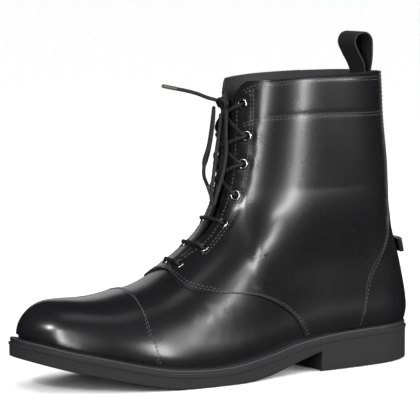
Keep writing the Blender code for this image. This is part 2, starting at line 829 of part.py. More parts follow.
# the pull loop's middle line from the side, mm from the back line at the collar and above the collar
LOOP_LINE = (
    # back, up
    (-7.9, -22),
    (-8.6, -12),
    (-9.0, -2),
    (-11.3, 6),
    (-15.5, 13),
    (-18.5, 20),
    (-16.0, 25.0),
    (-9.5, 26.0),
    (-5.4, 22.5),
    (-4.6, 14),
    (-5.0, 6),
    (-5.6, -4),
    (-6.0, -13),
    (-6.2, -22),
)


def make_pull_loop(parts):
    """A folded webbing loop held inside the back of the collar."""
    thick, wide = 1.2 * MM, 17 * MM
    back, top = BACK[-1]
    line = smooth_line([(back + a * MM, top + b * MM) for a, b in LOOP_LINE], 34)
    ahead = np.gradient(line, axis=0)
    normal = np.stack([-ahead[:, 1], ahead[:, 0]], 1)
    normal /= np.linalg.norm(normal, axis=1)[:, None]
    vertices = []
    for point, side_way in zip(line, normal):
        for y, t in ((-1, -1), (1, -1), (1, 1), (-1, 1)):
            spot = point + side_way * t * thick / 2
            vertices.append((spot[0], y * wide / 2 - 1.0 * MM, spot[1]))
    faces = []
    for k in range(len(line) - 1):
        faces += ring_faces(k * 4, (k + 1) * 4, 4)
    faces += [(0, 1, 2, 3), tuple(len(vertices) - 1 - i for i in range(4))]
    return mesh_object("pull_loop", vertices, faces, parts)


FRONT_LEVELS = np.linspace(0.40, 0.99, 237)


def eyelet_place(index):
    """Level on the front line and distance across of an eyelet pair."""
    along, high = EYELETS[index]
    x, z = at_length(along), at_height(high)
    half = float(skin_y(x, z, 1) - skin_y(x, z, -1)) / 2.0
    gaps = [(across_front(level, half) - Vector((x, 0.0, z))).xz.length for level in FRONT_LEVELS]
    return float(FRONT_LEVELS[int(np.argmin(gaps))]), half


def over_throat(index_from, index_to, share):
    """A point on the way across the throat between two eyelets, lifted off the facings."""
    start, half = eyelet_place(index_from)
    end, other_half = eyelet_place(index_to)
    level = start + (end - start) * share
    across = -half + (half + other_half) * share
    lift = CREST_LIFT + (LACE_LIFT - CREST_LIFT) * abs(2.0 * share - 1.0) ** 1.5
    return across_front(level, across) + across_normal(level, across) * lift


def strand(name, points, radius, collection, sides=8):
    """A tube along points with flat ends."""
    line = [Vector(p) for p in points]
    vertices, faces = [], []
    side_way = None
    for k, here in enumerate(line):
        ahead = (line[min(k + 1, len(line) - 1)] - line[max(k - 1, 0)]).normalized()
        if side_way is None:
            side_way = ahead.orthogonal().normalized()
        side_way = (side_way - ahead * side_way.dot(ahead)).normalized()
        up = ahead.cross(side_way)
        for j in range(sides):
            angle = 2 * math.pi * j / sides
            vertices.append(here + (side_way * math.cos(angle) + up * math.sin(angle)) * radius)
    for k in range(len(line) - 1):
        faces += ring_faces(k * sides, (k + 1) * sides, sides)
    faces += [tuple(range(sides)), tuple(len(vertices) - 1 - i for i in range(sides))]
    return mesh_object(name, vertices, faces, collection)


LACE_LIFT = 5.3 * MM
CREST_LIFT = 3.3 * MM


def make_laces(parts):
    """Straight bars below, crossings above, all outside the facings."""
    made = []
    shares = np.linspace(0.0, 1.0, 11)
    for number in range(3):
        path = [over_throat(number, number, s) for s in shares]
        made.append(strand(f"lace_bar_{number + 1}", path, LACE / 2, parts))
    for low in range(3, len(EYELETS) - 1):
        high = low + 1
        first = [over_throat(low, high, s) for s in np.linspace(0.13, 0.87, 9)]
        second = [over_throat(high, low, s) for s in np.linspace(0.13, 0.87, 9)]
        one = strand(f"lace_crossing_{low + 1}", first, LACE / 2, parts)
        two = strand("guide_strand", second, LACE / 2, parts)
        boolean(one, two, "UNION")
        bpy.data.objects.remove(two)
        made.append(one)
    return made


# the bow, mm: x from the shaft's front line at the knot, y across, z from the top eyelets
BOW = {
    "lace_knot": ((-5.5, 3.0, -2.0), (-8.5, 0.5, 1.5), (-8.5, -4.0, 3.0), (-6.0, -7.0, 0.5), (-6.0, -5.0, -3.5)),
    "lace_loop_near": (
        (-7.2, -8.5, -4.0),
        (-7.5, -8.5, -16.0),
        (-8.0, -9.5, -32.0),
        (-11.5, -10.5, -46.0),
        (-16.5, -11.5, -58.0),
        (-19.0, -12.0, -64.0),
        (-19.5, -10.0, -60.0),
        (-16.0, -7.0, -46.0),
        (-12.5, -5.0, -30.0),
        (-9.5, -4.4, -14.0),
        (-9.0, -4.4, -7.0),
    ),
    "lace_loop_far": (
        (-8.5, 5.0, -3.0),
        (-9.0, 6.6, -14.0),
        (-9.5, 10.0, -28.0),
        (-12.0, 11.5, -38.0),
        (-13.5, 9.0, -41.0),
        (-12.5, 6.0, -34.0),
        (-10.8, 3.8, -20.0),
        (-9.8, 3.0, -8.0),
    ),
    "lace_end_up": (
        (-11.5, -2.0, 2.5),
        (-16.0, 1.0, 4.0),
        (-22.0, 3.0, 6.5),
        (-29.0, 5.0, 8.5),
        (-36.0, 6.0, 10.0),
    ),
    "lace_end_down": (
        (-11.5, 0.0, -4.5),
        (-12.5, 0.0, -16.0),
        (-14.5, 0.0, -26.0),
        (-18.0, 0.0, -36.0),
        (-19.0, 0.0, -46.0),
        (-16.5, -0.5, -53.0),
    ),
}
TIP_LENGTH = 9 * MM
TIP_WIDTH = 2.7 * MM


def make_bow(parts):
    """The bow's knot, loops and ends as bending cords, and their stiff tips."""
    high = at_height(EYELETS[-1][1])
    front = float(np.interp(high, THROAT_FACE[:, 1], THROAT_FACE[:, 0]))
    made = []
    for name, points in BOW.items():
        knots = [(front + a * MM, b * MM, high + c * MM) for a, b, c in points]
        rough = np.linalg.norm(np.diff(np.array(knots), axis=0), axis=1).sum()
        count = max(6, int(rough / (2.3 * LACE)))
        line = smooth_line(knots, count)
        curve = bpy.data.curves.new(name, "CURVE")
        curve.dimensions = "3D"
        curve.bevel_depth = LACE / 2
        curve.bevel_resolution = 2
        curve.use_fill_caps = True
        spline = curve.splines.new("POLY")
        spline.points.add(len(line) - 1)
        for slot, point in zip(spline.points, line):
            slot.co = (*point, 1.0)
        thing = bpy.data.objects.new(name, curve)
        parts.objects.link(thing)
        made.append(thing)
        if name.startswith("lace_end"):
            last, before = Vector(line[-1]), Vector(line[-2])
            way = (last - before).normalized()
            start = last + way * GAP
            tip = tube_between(name.replace("end", "tip"), start, start + way * TIP_LENGTH, TIP_WIDTH / 2, 8, parts)
            made.append(tip)
    return made


FINISHES = {
    # name: colour, roughness, metallic
    "rubber": ((0.018, 0.019, 0.022), 0.6, 0.0),
    "leather": ((0.012, 0.011, 0.012), 0.28, 0.0),
    "footbed": ((0.05, 0.045, 0.04), 0.8, 0.0),
    "metal": ((0.75, 0.74, 0.72), 0.25, 1.0),
    "cord": ((0.012, 0.012, 0.013), 0.75, 0.0),
    "webbing": ((0.013, 0.013, 0.014), 0.8, 0.0),
    "plastic": ((0.06, 0.055, 0.05), 0.4, 0.0),
}


def finish_for(name):
    """Which finish a node takes."""
    if name in ("outsole", "welt"):
        return "rubber"
    if name.startswith("eyelet"):
        return "metal"
    if name.startswith("lace_tip"):
        return "plastic"
    if name.startswith("lace"):
        return "cord"
    return {"pull_loop": "webbing", "insole": "footbed"}.get(name, "leather")


def paint(thing):
    """Give an object a material of its own."""
    colour, rough, metal = FINISHES[finish_for(thing.name)]
    material = bpy.data.materials.new(thing.name + "_surface")
    material.use_nodes = True
    shader = material.node_tree.nodes["Principled BSDF"]
    shader.inputs["Base Color"].default_value = (*colour, 1.0)
    shader.inputs["Roughness"].default_value = rough
    shader.inputs["Metallic"].default_value = metal
    thing.data.materials.clear()
    thing.data.materials.append(material)
    if thing.type == "MESH":
        thing.data.shade_smooth()
        thing.data.set_sharp_from_angle(angle=math.radians(35))


def place_origin(things):
    """Move everything so that the box without cords stands over the origin."""
    low, high = Vector((1e9, 1e9, 1e9)), Vector((-1e9, -1e9, -1e9))
    for thing in things:
        if thing.type != "MESH":
            continue
        for vertex in thing.data.vertices:
            for axis in range(3):
                low[axis] = min(low[axis], vertex.co[axis])
                high[axis] = max(high[axis], vertex.co[axis])
    shift = Vector((-(low.x + high.x) / 2, -(low.y + high.y) / 2, -low.z))
    for thing in things:
        thing.data.transform(Matrix.Translation(shift))
    print("moved by", [round(v * 1000, 3) for v in shift], "size", [round(v * 1000, 2) for v in high - low])


def main():
    for thing in list(bpy.data.objects):
        bpy.data.objects.remove(thing)
    scene = bpy.context.scene
    parts = bpy.data.collections.new("paddock_boot")
    guides = bpy.data.collections.new("guides")
    scene.collection.children.link(parts)
    scene.collection.children.link(guides)
    holes = make_eyelet_cutters(guides)
    made = [
        make_outsole(parts, guides),
        make_welt(parts),
        make_insole(parts),
        make_upper(parts, holes),
        make_quarters(parts, guides, holes),
        make_cap(parts, guides),
        make_counter(parts, guides),
        make_tongue(parts),
        make_spur_rest(parts),
        make_pull_loop(parts),
    ]
    for side, label in ((-1, "outer"), (1, "inner")):
        for index in range(len(EYELETS)):
            made.append(make_eyelet(f"eyelet_{label}_{index + 1}", index, side, parts))
    made += make_laces(parts)
    made += make_bow(parts)
    for thing in made:
        paint(thing)
    place_origin(made)
    for guide in guides.objects:
        guide.hide_render = True
        guide.display_type = "WIRE"


if __name__ == "__main__":
    main()
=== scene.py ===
"""Looks of a black leather paddock boot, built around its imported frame.

Toe toward -X, outer side toward -Y, floor at z = 0. All lengths are metres unless a name ends in _mm.
"""

import json
import logging
import math
from dataclasses import dataclass, field
from enum import Enum
from typing import Any, Callable, Optional, Sequence

import bmesh
import bpy
import numpy as np
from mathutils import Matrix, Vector
from mathutils.bvhtree import BVHTree

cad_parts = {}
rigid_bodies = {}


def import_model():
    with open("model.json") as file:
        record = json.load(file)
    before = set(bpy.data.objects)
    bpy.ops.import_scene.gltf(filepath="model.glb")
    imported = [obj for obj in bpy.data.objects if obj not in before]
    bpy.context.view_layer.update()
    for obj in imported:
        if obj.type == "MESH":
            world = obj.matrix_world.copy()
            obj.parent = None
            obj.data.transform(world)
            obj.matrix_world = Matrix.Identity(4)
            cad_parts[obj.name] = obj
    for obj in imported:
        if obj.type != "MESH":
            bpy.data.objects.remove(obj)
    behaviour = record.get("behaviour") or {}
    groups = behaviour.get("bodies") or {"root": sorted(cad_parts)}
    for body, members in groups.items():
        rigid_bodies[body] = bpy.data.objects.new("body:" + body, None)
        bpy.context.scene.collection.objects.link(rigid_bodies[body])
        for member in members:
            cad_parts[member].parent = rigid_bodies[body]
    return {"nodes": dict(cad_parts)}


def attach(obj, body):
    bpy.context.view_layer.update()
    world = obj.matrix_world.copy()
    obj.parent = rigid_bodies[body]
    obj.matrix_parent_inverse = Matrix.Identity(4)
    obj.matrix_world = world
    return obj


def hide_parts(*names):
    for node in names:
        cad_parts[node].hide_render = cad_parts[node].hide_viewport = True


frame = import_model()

LOG = logging.getLogger("paddock_boot")
MM = 0.001
TINY = 1e-9
BODY = "root"
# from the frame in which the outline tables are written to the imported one
SHIFT = np.array((-0.128, 0.633, 0.0)) * MM

# driving sizes, the same as the solids'
LENGTH = 290 * MM
BALL_WIDTH = 98 * MM
HEEL_HEIGHT = 13 * MM
SHAFT_HEIGHT = 191 * MM
WELT_WIDTH = 5.6 * MM
WELT_THICK = 3.2 * MM
LEATHER = 2.0 * MM
OVERLAY = 1.4 * MM
COUNTER_TOP = 2.4 * MM
GAP = 0.3 * MM
TONGUE_THICK = 1.8 * MM
TONGUE_GAP = 1.5 * MM
TONGUE_HALF = 17 * MM
LACE = 2.4 * MM
COLLAR_RISE = {-1: 2.4 * MM, 1: 0.8 * MM}
THROAT_START = 0.369
SEAT_SHARE = 0.115
SEAT_HEELS = 1.69

SOLE_OUTLINE = (
    # along, outer, inner
    (0.000, 0.092, 0.092),
    (0.005, 0.015, 0.173),
    (0.019, -0.061, 0.245),
    (0.048, -0.158, 0.316),
    (0.090, -0.245, 0.378),
    (0.159, -0.357, 0.439),
    (0.214, -0.423, 0.469),
    (0.279, -0.474, 0.490),
    (0.338, -0.497, 0.485),
    (0.417, -0.502, 0.454),
    (0.483, -0.485, 0.398),
    (0.555, -0.434, 0.347),
    (0.624, -0.388, 0.321),
    (0.707, -0.367, 0.321),
    (0.776, -0.357, 0.332),
    (0.834, -0.342, 0.337),
    (0.907, -0.301, 0.306),
    (0.962, -0.209, 0.209),
    (0.990, -0.112, 0.112),
    (1.000, 0.000, 0.000),
)
SOLE_SIDE = (
    # along, under, top
    (0.000, 1.62, 2.31),
    (0.048, 1.30, 2.04),
    (0.090, 1.04, 1.77),
    (0.159, 0.68, 1.42),
    (0.214, 0.40, 1.12),
    (0.272, 0.15, 0.86),
    (0.321, 0.00, 0.72),
    (0.417, 0.00, 0.65),
    (0.483, 0.00, 0.77),
    (0.555, 0.17, 0.97),
    (0.624, 0.54, 1.27),
    (0.700, 1.00, 1.52),
    (0.803, 1.00, 1.66),
    (1.000, 1.00, 1.69),
)
BREAST = 0.700
BREAST_HOLLOW = 2.5 * MM
FRONT_LINE = (
    # along, high
    (0.0225, 0.150),
    (0.0215, 0.187),
    (0.0270, 0.225),
    (0.044, 0.259),
    (0.074, 0.280),
    (0.114, 0.285),
    (0.155, 0.284),
    (0.197, 0.288),
    (0.234, 0.298),
    (0.272, 0.311),
    (0.314, 0.3305),
    (0.352, 0.360),
    (0.386, 0.3935),
    (0.4235, 0.436),
    (0.457, 0.482),
    (0.483, 0.535),
    (0.504, 0.612),
    (0.5155, 0.702),
    (0.5215, 0.785),
    (0.526, 0.864),
    (0.530, 0.942),
    (0.532, 0.990),
)
BACK_LINE = (
    # along, high
    (0.980, 0.115),
    (0.988, 0.141),
    (0.9915, 0.173),
    (0.9895, 0.230),
    (0.9805, 0.298),
    (0.968, 0.372),
    (0.956, 0.424),
    (0.9465, 0.466),
    (0.939, 0.524),
    (0.935, 0.560),
    (0.933, 0.618),
    (0.928, 0.712),
    (0.921, 0.785),
    (0.914, 0.864),
    (0.909, 0.958),
    (0.906, 1.010),
)
SHAFT_OVAL = (
    # high, half
    (0.21, 0.205),
    (0.31, 0.200),
    (0.47, 0.190),
    (0.63, 0.181),
    (0.785, 0.186),
    (1.01, 0.194),
)
THROAT = (
    # high, outer_mm, inner_mm
    (0.369, 1.2, 1.2),
    (0.440, 3.0, 3.0),
    (0.520, 4.5, 4.5),
    (0.910, 4.5, 4.5),
    (0.945, 6.0, 8.0),
    (0.960, 8.0, 11.5),
    (0.972, 9.5, 15.0),
    (0.985, 12.5, 19.5),
    (1.000, 18.0, 25.0),
)
QUARTER_EDGE = (
    # along, high
    (0.3680, 0.383),
    (0.3630, 0.372),
    (0.3572, 0.3603),
    (0.3520, 0.345),
    (0.3535, 0.329),
    (0.3700, 0.3130),
    (0.4110, 0.302),
    (0.472, 0.296),
    (0.519, 0.285),
    (0.561, 0.261),
    (0.591, 0.238),
    (0.621, 0.210),
    (0.642, 0.176),
    (0.662, 0.125),
    (0.672, 0.060),
)
CAP_EDGE = (
    # along, high
    (0.2735, 0.335),
    (0.2680, 0.318),
    (0.2620, 0.3055),
    (0.2565, 0.2930),
    (0.2545, 0.2762),
    (0.2566, 0.2411),
    (0.2595, 0.2039),
    (0.2620, 0.1582),
    (0.2668, 0.1236),
    (0.2734, 0.098),
    (0.2800, 0.020),
)
COUNTER_EDGE = (
    # along, high
    (0.809, 0.060),
    (0.817, 0.157),
    (0.8285, 0.225),
    (0.8345, 0.275),
    (0.843, 0.314),
    (0.8605, 0.354),
    (0.886, 0.400),
    (0.905, 0.450),
    (0.912, 0.500),
    (0.909, 0.560),
    (0.903, 0.680),
    (0.8955, 0.785),
    (0.890, 0.890),
    (0.884, 1.060),
)
EYELETS = (
    # along, high
    (0.3806, 0.3837),
    (0.4336, 0.4364),
    (0.4854, 0.5163),
    (0.5174, 0.6091),
    (0.5334, 0.7155),
    (0.5408, 0.8101),
    (0.5382, 0.9175),
)
PAIRS = len(EYELETS)
# lines of stitches on the face, seen from the side
FACING_LINE = (
    # along, high
    (0.5530, 0.968),
    (0.5530, 0.9217),
    (0.5522, 0.8646),
    (0.5495, 0.8225),
    (0.5471, 0.7535),
    (0.5399, 0.6859),
    (0.5321, 0.6320),
    (0.5249, 0.5968),
    (0.5149, 0.5642),
    (0.5038, 0.5380),
    (0.4886, 0.5035),
    (0.4708, 0.4752),
    (0.4563, 0.4531),
    (0.4284, 0.4160),
)
COLLAR_LINE = (
    # along, high
    (0.5400, 0.9590),
    (0.5450, 0.9730),
    (0.5560, 0.9830),
    (0.6031, 0.9945),
    (0.6572, 1.0020),
    (0.6987, 1.0045),
    (0.7679, 1.0035),
    (0.8200, 1.0010),
    (0.8700, 0.9990),
)
CUFF_LINE = (
    # along, high
    (0.5370, 0.8530),
    (0.5467, 0.8576),
    (0.5548, 0.8680),
    (0.5847, 0.8770),
    (0.6367, 0.8812),
    (0.7011, 0.8847),
    (0.7706, 0.8827),
    (0.8300, 0.8790),
    (0.8850, 0.8750),
)
THROAT_STITCH = (
    # along, high
    (0.5330, 0.925),
    (0.5315, 0.860),
    (0.5275, 0.780),
    (0.5235, 0.705),
    (0.5130, 0.620),
    (0.4960, 0.556),
    (0.4690, 0.490),
    (0.4330, 0.440),
    (0.3950, 0.400),
)


class Wrap(Enum):
    """How a patch of the upper runs: over the front line or round the back."""

    FRONT = "front"
    BACK = "back"


def at_length(share: float) -> float:
    """X of a share of the length.

    Args:
        share: Share of the length, counted from the toe.

    Returns:
        X in the solids' own source frame.
    """
    return (share - 0.5) * LENGTH


def at_height(share: float) -> float:
    """Z of a share of the shaft height.

    Args:
        share: Share of the shaft height.

    Returns:
        Height above the floor.
    """
    seat = SEAT_HEELS * HEEL_HEIGHT
    return seat + (share - SEAT_SHARE) / (1.0 - SEAT_SHARE) * (SHAFT_HEIGHT - seat)


def smooth_line(points: Sequence, count: int) -> np.ndarray:
    """A smooth line through points.

    Args:
        points: Rows of coordinates that the line passes.
        count: Number of evenly spaced samples.

    Returns:
        Samples, one a row.
    """
    knots = np.asarray(points, float)
    steps = np.sqrt(np.linalg.norm(np.diff(knots, axis=0), axis=1))
    along = np.concatenate([[0.0], np.cumsum(steps)])
    slope = np.gradient(knots, along, axis=0)
    fine = np.linspace(0.0, along[-1], 60 * len(knots))
    piece = np.clip(np.searchsorted(along, fine, side="right") - 1, 0, len(along) - 2)
    span = (along[piece + 1] - along[piece])[:, None]
    part = (fine - along[piece])[:, None] / span
    cube, square = part**3, part**2
    line = (2 * cube - 3 * square + 1) * knots[piece] + (cube - 2 * square + part) * span * slope[piece]
    line = line + (3 * square - 2 * cube) * knots[piece + 1] + (cube - square) * span * slope[piece + 1]
    run = run_of(line)
    return read_line(line, run, np.linspace(0.0, run[-1], count))


def run_of(line: np.ndarray) -> np.ndarray:
    """Length run along a line.

    Args:
        line: Points, one a row.

    Returns:
        Distance from the first point at each point.
    """
    return np.concatenate([[0.0], np.cumsum(np.linalg.norm(np.diff(line, axis=0), axis=1))])


def read_line(line: np.ndarray, run: np.ndarray, want: Any) -> np.ndarray:
    """Points part of the way along a line.

    Args:
        line: Points, one a row.
        run: A rising number for each point, such as the distance run.
        want: Numbers to read at.

    Returns:
        One point for each number.
    """
    return np.stack([np.interp(want, run, line[:, i]) for i in range(line.shape[1])], -1)


def near_line(line: np.ndarray, flat: np.ndarray) -> tuple:
    """How near points lie to a line.

    Args:
        line: Points of the line, one a row.
        flat: Points to ask for, on the last axis.

    Returns:
        Their distance, and the share of the line's steps at the nearest place.
    """
    best = np.full(flat.shape[:-1], np.inf)
    spot = np.zeros(flat.shape[:-1])
    for k, (a, b) in enumerate(zip(line, line[1:])):
        way = b - a
        part = np.clip(((flat - a) @ way) / (way @ way), 0.0, 1.0)
        away = np.linalg.norm(flat - a - part[..., None] * way, axis=-1)
        spot = np.where(away < best, (k + part) / (len(line) - 1), spot)
        best = np.minimum(best, away)
    return best, spot


def band_faces(rings: int, size: int, closed: bool = False) -> list:
    """Quads between rings of corners.

    Args:
        rings: Number of rings.
        size: Corners in each.
        closed: Whether the last ring joins the first.

    Returns:
        Corner numbers of each quad.
    """
    faces = []
    for k in range(rings if closed else rings - 1):
        a, b = k * size, (k + 1) % rings * size
        faces += [(a + i, a + (i + 1) % size, b + (i + 1) % size, b + i) for i in range(size)]
    return faces


def aim_at(thing: bpy.types.Object, place: Sequence, target: Sequence) -> None:
    """Puts a lamp or camera at a place and turns it to a target.

    Args:
        thing: The lamp or camera.
        place: Where it stands.
        target: What it looks at.
    """
    thing.location = place
    thing.rotation_euler = (Vector(target) - Vector(place)).to_track_quat("-Z", "Y").to_euler()


def side_points(table: Sequence) -> list:
    """A table of shares as side-view points.

    Args:
        table: Rows of share of length and share of shaft height.

    Returns:
        Rows of X and Z.
    """
    return [(at_length(along), at_height(high)) for along, high in table]


def ease(low: float, high: float, value: Any) -> Any:
    """A soft step.

    Args:
        low: Where the step starts.
        high: Where it ends.
        value: Number or array.

    Returns:
        0 below low, 1 above high.
    """
    share = np.clip((value - low) / (high - low), 0.0, 1.0)
    return share * share * (3.0 - 2.0 * share)


def tint(colour: tuple, share: float) -> tuple:
    """A colour made darker or lighter.

    Args:
        colour: Red, green and blue.
        share: What each is multiplied by.

    Returns:
        The new colour.
    """
    return tuple(share * part for part in colour)


def unit(vectors: np.ndarray) -> np.ndarray:
    """Vectors at length 1.

    Args:
        vectors: Array whose last axis is X, Y, Z.

    Returns:
        Array of the same shape.
    """
    size = np.linalg.norm(vectors, axis=-1, keepdims=True)
    return vectors / np.maximum(size, TINY * MM)


class Edge:
    """An overlay's edge in the side view, as a lookup from height to X."""

    def __init__(self, table: Sequence) -> None:
        """Args:
        table: Rows of share of length and share of shaft height, from above down.
        """
        line = smooth_line(side_points(table), 400)
        order = np.argsort(line[:, 1])
        self.z = line[order, 1]
        self.x = line[order, 0]

    def behind(self, x: np.ndarray, z: np.ndarray, above: float) -> np.ndarray:
        """How far points lie behind the edge.

        Args:
            x: X of the points.
            z: Their heights.
            above: X of the edge above its highest point.

        Returns:
            Positive behind the edge, toward the heel.
        """
        edge = np.interp(z, self.z, self.x)
        return x - np.where(z > self.z[-1], above, edge)


@dataclass
class Row:
    """Fine samples of one side of one level round the upper."""

    turn: np.ndarray
    points: np.ndarray
    half: np.ndarray

    def where(self, value: np.ndarray) -> float:
        """Args:
            value: A number per sample that rises through zero.

        Returns:
            The turn at which it does.
        """
        index = int(np.argmax(value >= 0.0))
        if index == 0:
            return 0.0 if value[0] >= 0.0 else float(self.turn[-1])
        part = -value[index - 1] / (value[index] - value[index - 1])
        return float(self.turn[index - 1] + (self.turn[index] - self.turn[index - 1]) * part)

    def even(self, start: float, stop: float, count: int) -> np.ndarray:
        """Args:
            start: Turn of the first point.
            stop: Turn of the last point.
            count: Number of steps.

        Returns:
            count + 1 points at even distances.
        """
        between = self.turn[(self.turn > start) & (self.turn < stop)]
        turns = np.unique(np.concatenate([[start, stop], between]))
        if len(turns) < 2:
            turns = np.array([start, stop])
        line = read_line(self.points, self.turn, turns)
        run = run_of(line)
        if run[-1] < TINY:
            return np.repeat(line[:1], count + 1, 0)
        return read_line(line, run, np.linspace(0.0, run[-1], count + 1))


def front_turn(row: Row, level: float, side: int) -> float:
    """The front line's turn, where a patch over the front starts."""
    return 0.0


def back_turn(row: Row, level: float, side: int) -> float:
    """The back line's turn, where a patch round the back ends."""
    return math.pi


class Last:
    """The upper's outer face, from the boot's outline, sole and shaft sections."""

    # where the toe and heel of the foot follow the outline, as shares of the length
    TOE_BLEND = (0.02, 0.17)
    HEEL_BLEND = (0.74, 0.965)
    THROAT_FROM = 0.20
    # where the foot's section passes into the shaft's, as shares of the shaft height
    SHAFT_BLEND = (0.345, 0.62)
    TOE_FACE_TOP = 0.285
    # the foot bulges over the welt and is tucked in just above it
    SWELL = 1.0 * MM
    SWELL_HIGH = 12 * MM
    SWELL_REACH = 9 * MM
    TUCK_REACH = 4 * MM
    FULL_HALF = 12 * MM
    # powers of the foot's and the shaft's rounded sections
    FOOT_RISE = 2.5
    FOOT_ROUND = 1 / 2.2
    SHAFT_ROUND = 0.475
    SHAFT_LEAN = 1.0 * MM
    CREST_CLIMB = 40.0
    SAG_FADE = 2.2
    TURNS = 1081
    SOLE_SAMPLES = 1400
    # how far in from the front line a section is looked up, and in how many samples
    SECTION_DEPTH = 32 * MM
    SECTION_SAMPLES = 641

    def __init__(self) -> None:
        """Sets up the lookups that the face needs."""
        self.front = smooth_line(side_points(FRONT_LINE), 600)
        self.back = smooth_line(side_points(BACK_LINE), 400)
        self.top = smooth_line([(at_length(a), top * HEEL_HEIGHT) for a, under, top in SOLE_SIDE], 400)
        self.feather = self.inset_edges(WELT_WIDTH)
        self.toe_x = self.feather[0][0, 0]
        self.heel_x = self.feather[0][-1, 0]
        self.ridge = self.rising(self.front[self.front[:, 0].argmin() :])
        toe_rows = np.searchsorted(self.front[:, 1], at_height(self.TOE_FACE_TOP))
        self.toe_face = self.front[:toe_rows]
        self.throat_face = self.front[self.front[:, 0] > at_length(self.THROAT_FROM)]
        self.ovals = np.array(SHAFT_OVAL) * SHAFT_HEIGHT

    @staticmethod
    def rising(points: np.ndarray) -> np.ndarray:
        """Args:
            points: A line of points.

        Returns:
            Those whose X still grows.
        """
        top = np.maximum.accumulate(points[:, 0])
        return points[np.concatenate([[True], np.diff(top) > 0])]

    @staticmethod
    def sole_edges() -> tuple:
        """Returns:
        The sole's outer and inner edge from toe to heel.
        """
        outer = [(at_length(along), near * BALL_WIDTH) for along, near, far in SOLE_OUTLINE]
        inner = [(at_length(along), far * BALL_WIDTH) for along, near, far in SOLE_OUTLINE]
        loop = outer + inner[::-1][1:-1]
        wrap = 6
        line = smooth_line(loop[-wrap:] + loop + loop[: wrap + 1], Last.SOLE_SAMPLES)
        half = len(line) // 2
        toe = line[:half, 0].argmin()
        heel = toe + line[toe:, 0].argmax()
        end = heel + line[heel:, 0].argmin()
        return line[toe : heel + 1], line[heel : end + 1][::-1]

    def inset_edges(self, amount: float) -> tuple:
        """Args:
            amount: How far inward.

        Returns:
            The sole's two edges moved inward, as lookups from X to Y.
        """
        outer, inner = self.sole_edges()
        loop = np.concatenate([outer, inner[::-1][1:]])
        ahead = np.roll(loop, -1, 0) - np.roll(loop, 1, 0)
        moved = loop + unit(np.stack([-ahead[:, 1], ahead[:, 0]], 1)) * amount
        moved = np.roll(moved, -moved[:, 0].argmin(), 0)
        heel = moved[:, 0].argmax()
        return self.rising(moved[: heel + 1]), self.rising(np.concatenate([moved[heel:], moved[:1]])[::-1])

    def sole_top(self, x: Any) -> Any:
        """Args:
            x: X of a place.

        Returns:
            Height of the sole's top edge there.
        """
        return np.interp(x, self.top[:, 0], self.top[:, 1])

    def skin_y(self, x: np.ndarray, z: np.ndarray, side: int) -> np.ndarray:
        """Args:
            x: X of points of the side view.
            z: Their heights.
            side: -1 for the outer face, 1 for the inner.

        Returns:
            Y of the face.
        """
        base = self.sole_top(x)
        toe_move = np.interp(z, self.toe_face[:, 1], self.toe_face[:, 0]) - self.toe_x
        heel_move = np.interp(z, self.back[:, 1], self.back[:, 0]) - self.heel_x
        near_toe = 1.0 - ease(*map(at_length, self.TOE_BLEND), x)
        near_heel = ease(*map(at_length, self.HEEL_BLEND), x)
        foot_x = np.clip(x - toe_move * near_toe - heel_move * near_heel, self.toe_x, self.heel_x)
        outer = np.interp(foot_x, self.feather[0][:, 0], self.feather[0][:, 1])
        inner = np.interp(foot_x, self.feather[1][:, 0], self.feather[1][:, 1])
        middle = (outer + inner) / 2.0
        half = (inner - outer) / 2.0
        lift = z - base
        bulge = np.exp(-(((lift - self.SWELL_HIGH) / self.SWELL_REACH) ** 2))
        swell = self.SWELL * (bulge - np.exp(-lift / self.TUCK_REACH))
        half = half + swell * np.clip(half / self.FULL_HALF, 0.0, 1.0)
        last = self.ridge[-1]
        climb = last[1] + (x - last[0]) * self.CREST_CLIMB
        crest = np.where(x > last[0], climb, np.interp(x, self.ridge[:, 0], self.ridge[:, 1]))
        rise = np.clip(lift / (crest - base), 0.0, 1.0)
        foot = half * (1.0 - rise**self.FOOT_RISE) ** self.FOOT_ROUND
        front = np.interp(z, self.throat_face[:, 1], self.throat_face[:, 0])
        back = np.interp(z, self.back[:, 1], self.back[:, 0])
        share = np.clip((x - front) / (back - front), 0.0, 1.0)
        oval = np.clip(4 * share * (1 - share), 0, 1) ** self.SHAFT_ROUND
        shaft = np.interp(z, self.ovals[:, 0], self.ovals[:, 1]) * oval
        blend = ease(*map(at_height, self.SHAFT_BLEND), z)
        return (1 - blend) * (middle + side * foot) + blend * (side * shaft - self.SHAFT_LEAN)

    def line_at(self, line: np.ndarray, level: float) -> np.ndarray:
        """Args:
            line: The front or the back line.
            level: Share of the way up it.

        Returns:
            X and Z there.
        """
        return read_line(line, np.arange(len(line)), level * (len(line) - 1))

    def level_at(self, height: float) -> float:
        """Args:
            height: Height above the floor.

        Returns:
            The level at which the front line has it.
        """
        return float(np.interp(height, self.front[:, 1], np.linspace(0.0, 1.0, len(self.front))))

    def row(self, level: float, side: int) -> Row:
        """Args:
            level: 0 at the feather, 1 at the collar.
            side: -1 outer, 1 inner.

        Returns:
            Fine samples from the front line to the back line.
        """
        first, last = self.line_at(self.front, level), self.line_at(self.back, level)
        turn = np.linspace(0.0, math.pi, self.TURNS)
        share = (1.0 - np.cos(turn)) / 2.0
        x = first[0] + (last[0] - first[0]) * share
        straight = self.sole_top(first[0]) * (1.0 - share) + self.sole_top(last[0]) * share
        sag = (1.0 - level) ** self.SAG_FADE * (self.sole_top(x) - straight)
        rise = COLLAR_RISE[side] * level**3 * np.sin(turn)
        z = first[1] + (last[1] - first[1]) * share + sag + rise
        z = np.maximum(z, self.sole_top(x) + GAP)
        y, other = self.skin_y(x, z, side), self.skin_y(x, z, -side)
        half, middle = np.abs(y - other) / 2.0, (y + other) / 2.0
        half[0] = half[-1] = 0.0
        return Row(turn, np.stack([x, middle + side * half, z], 1), half)

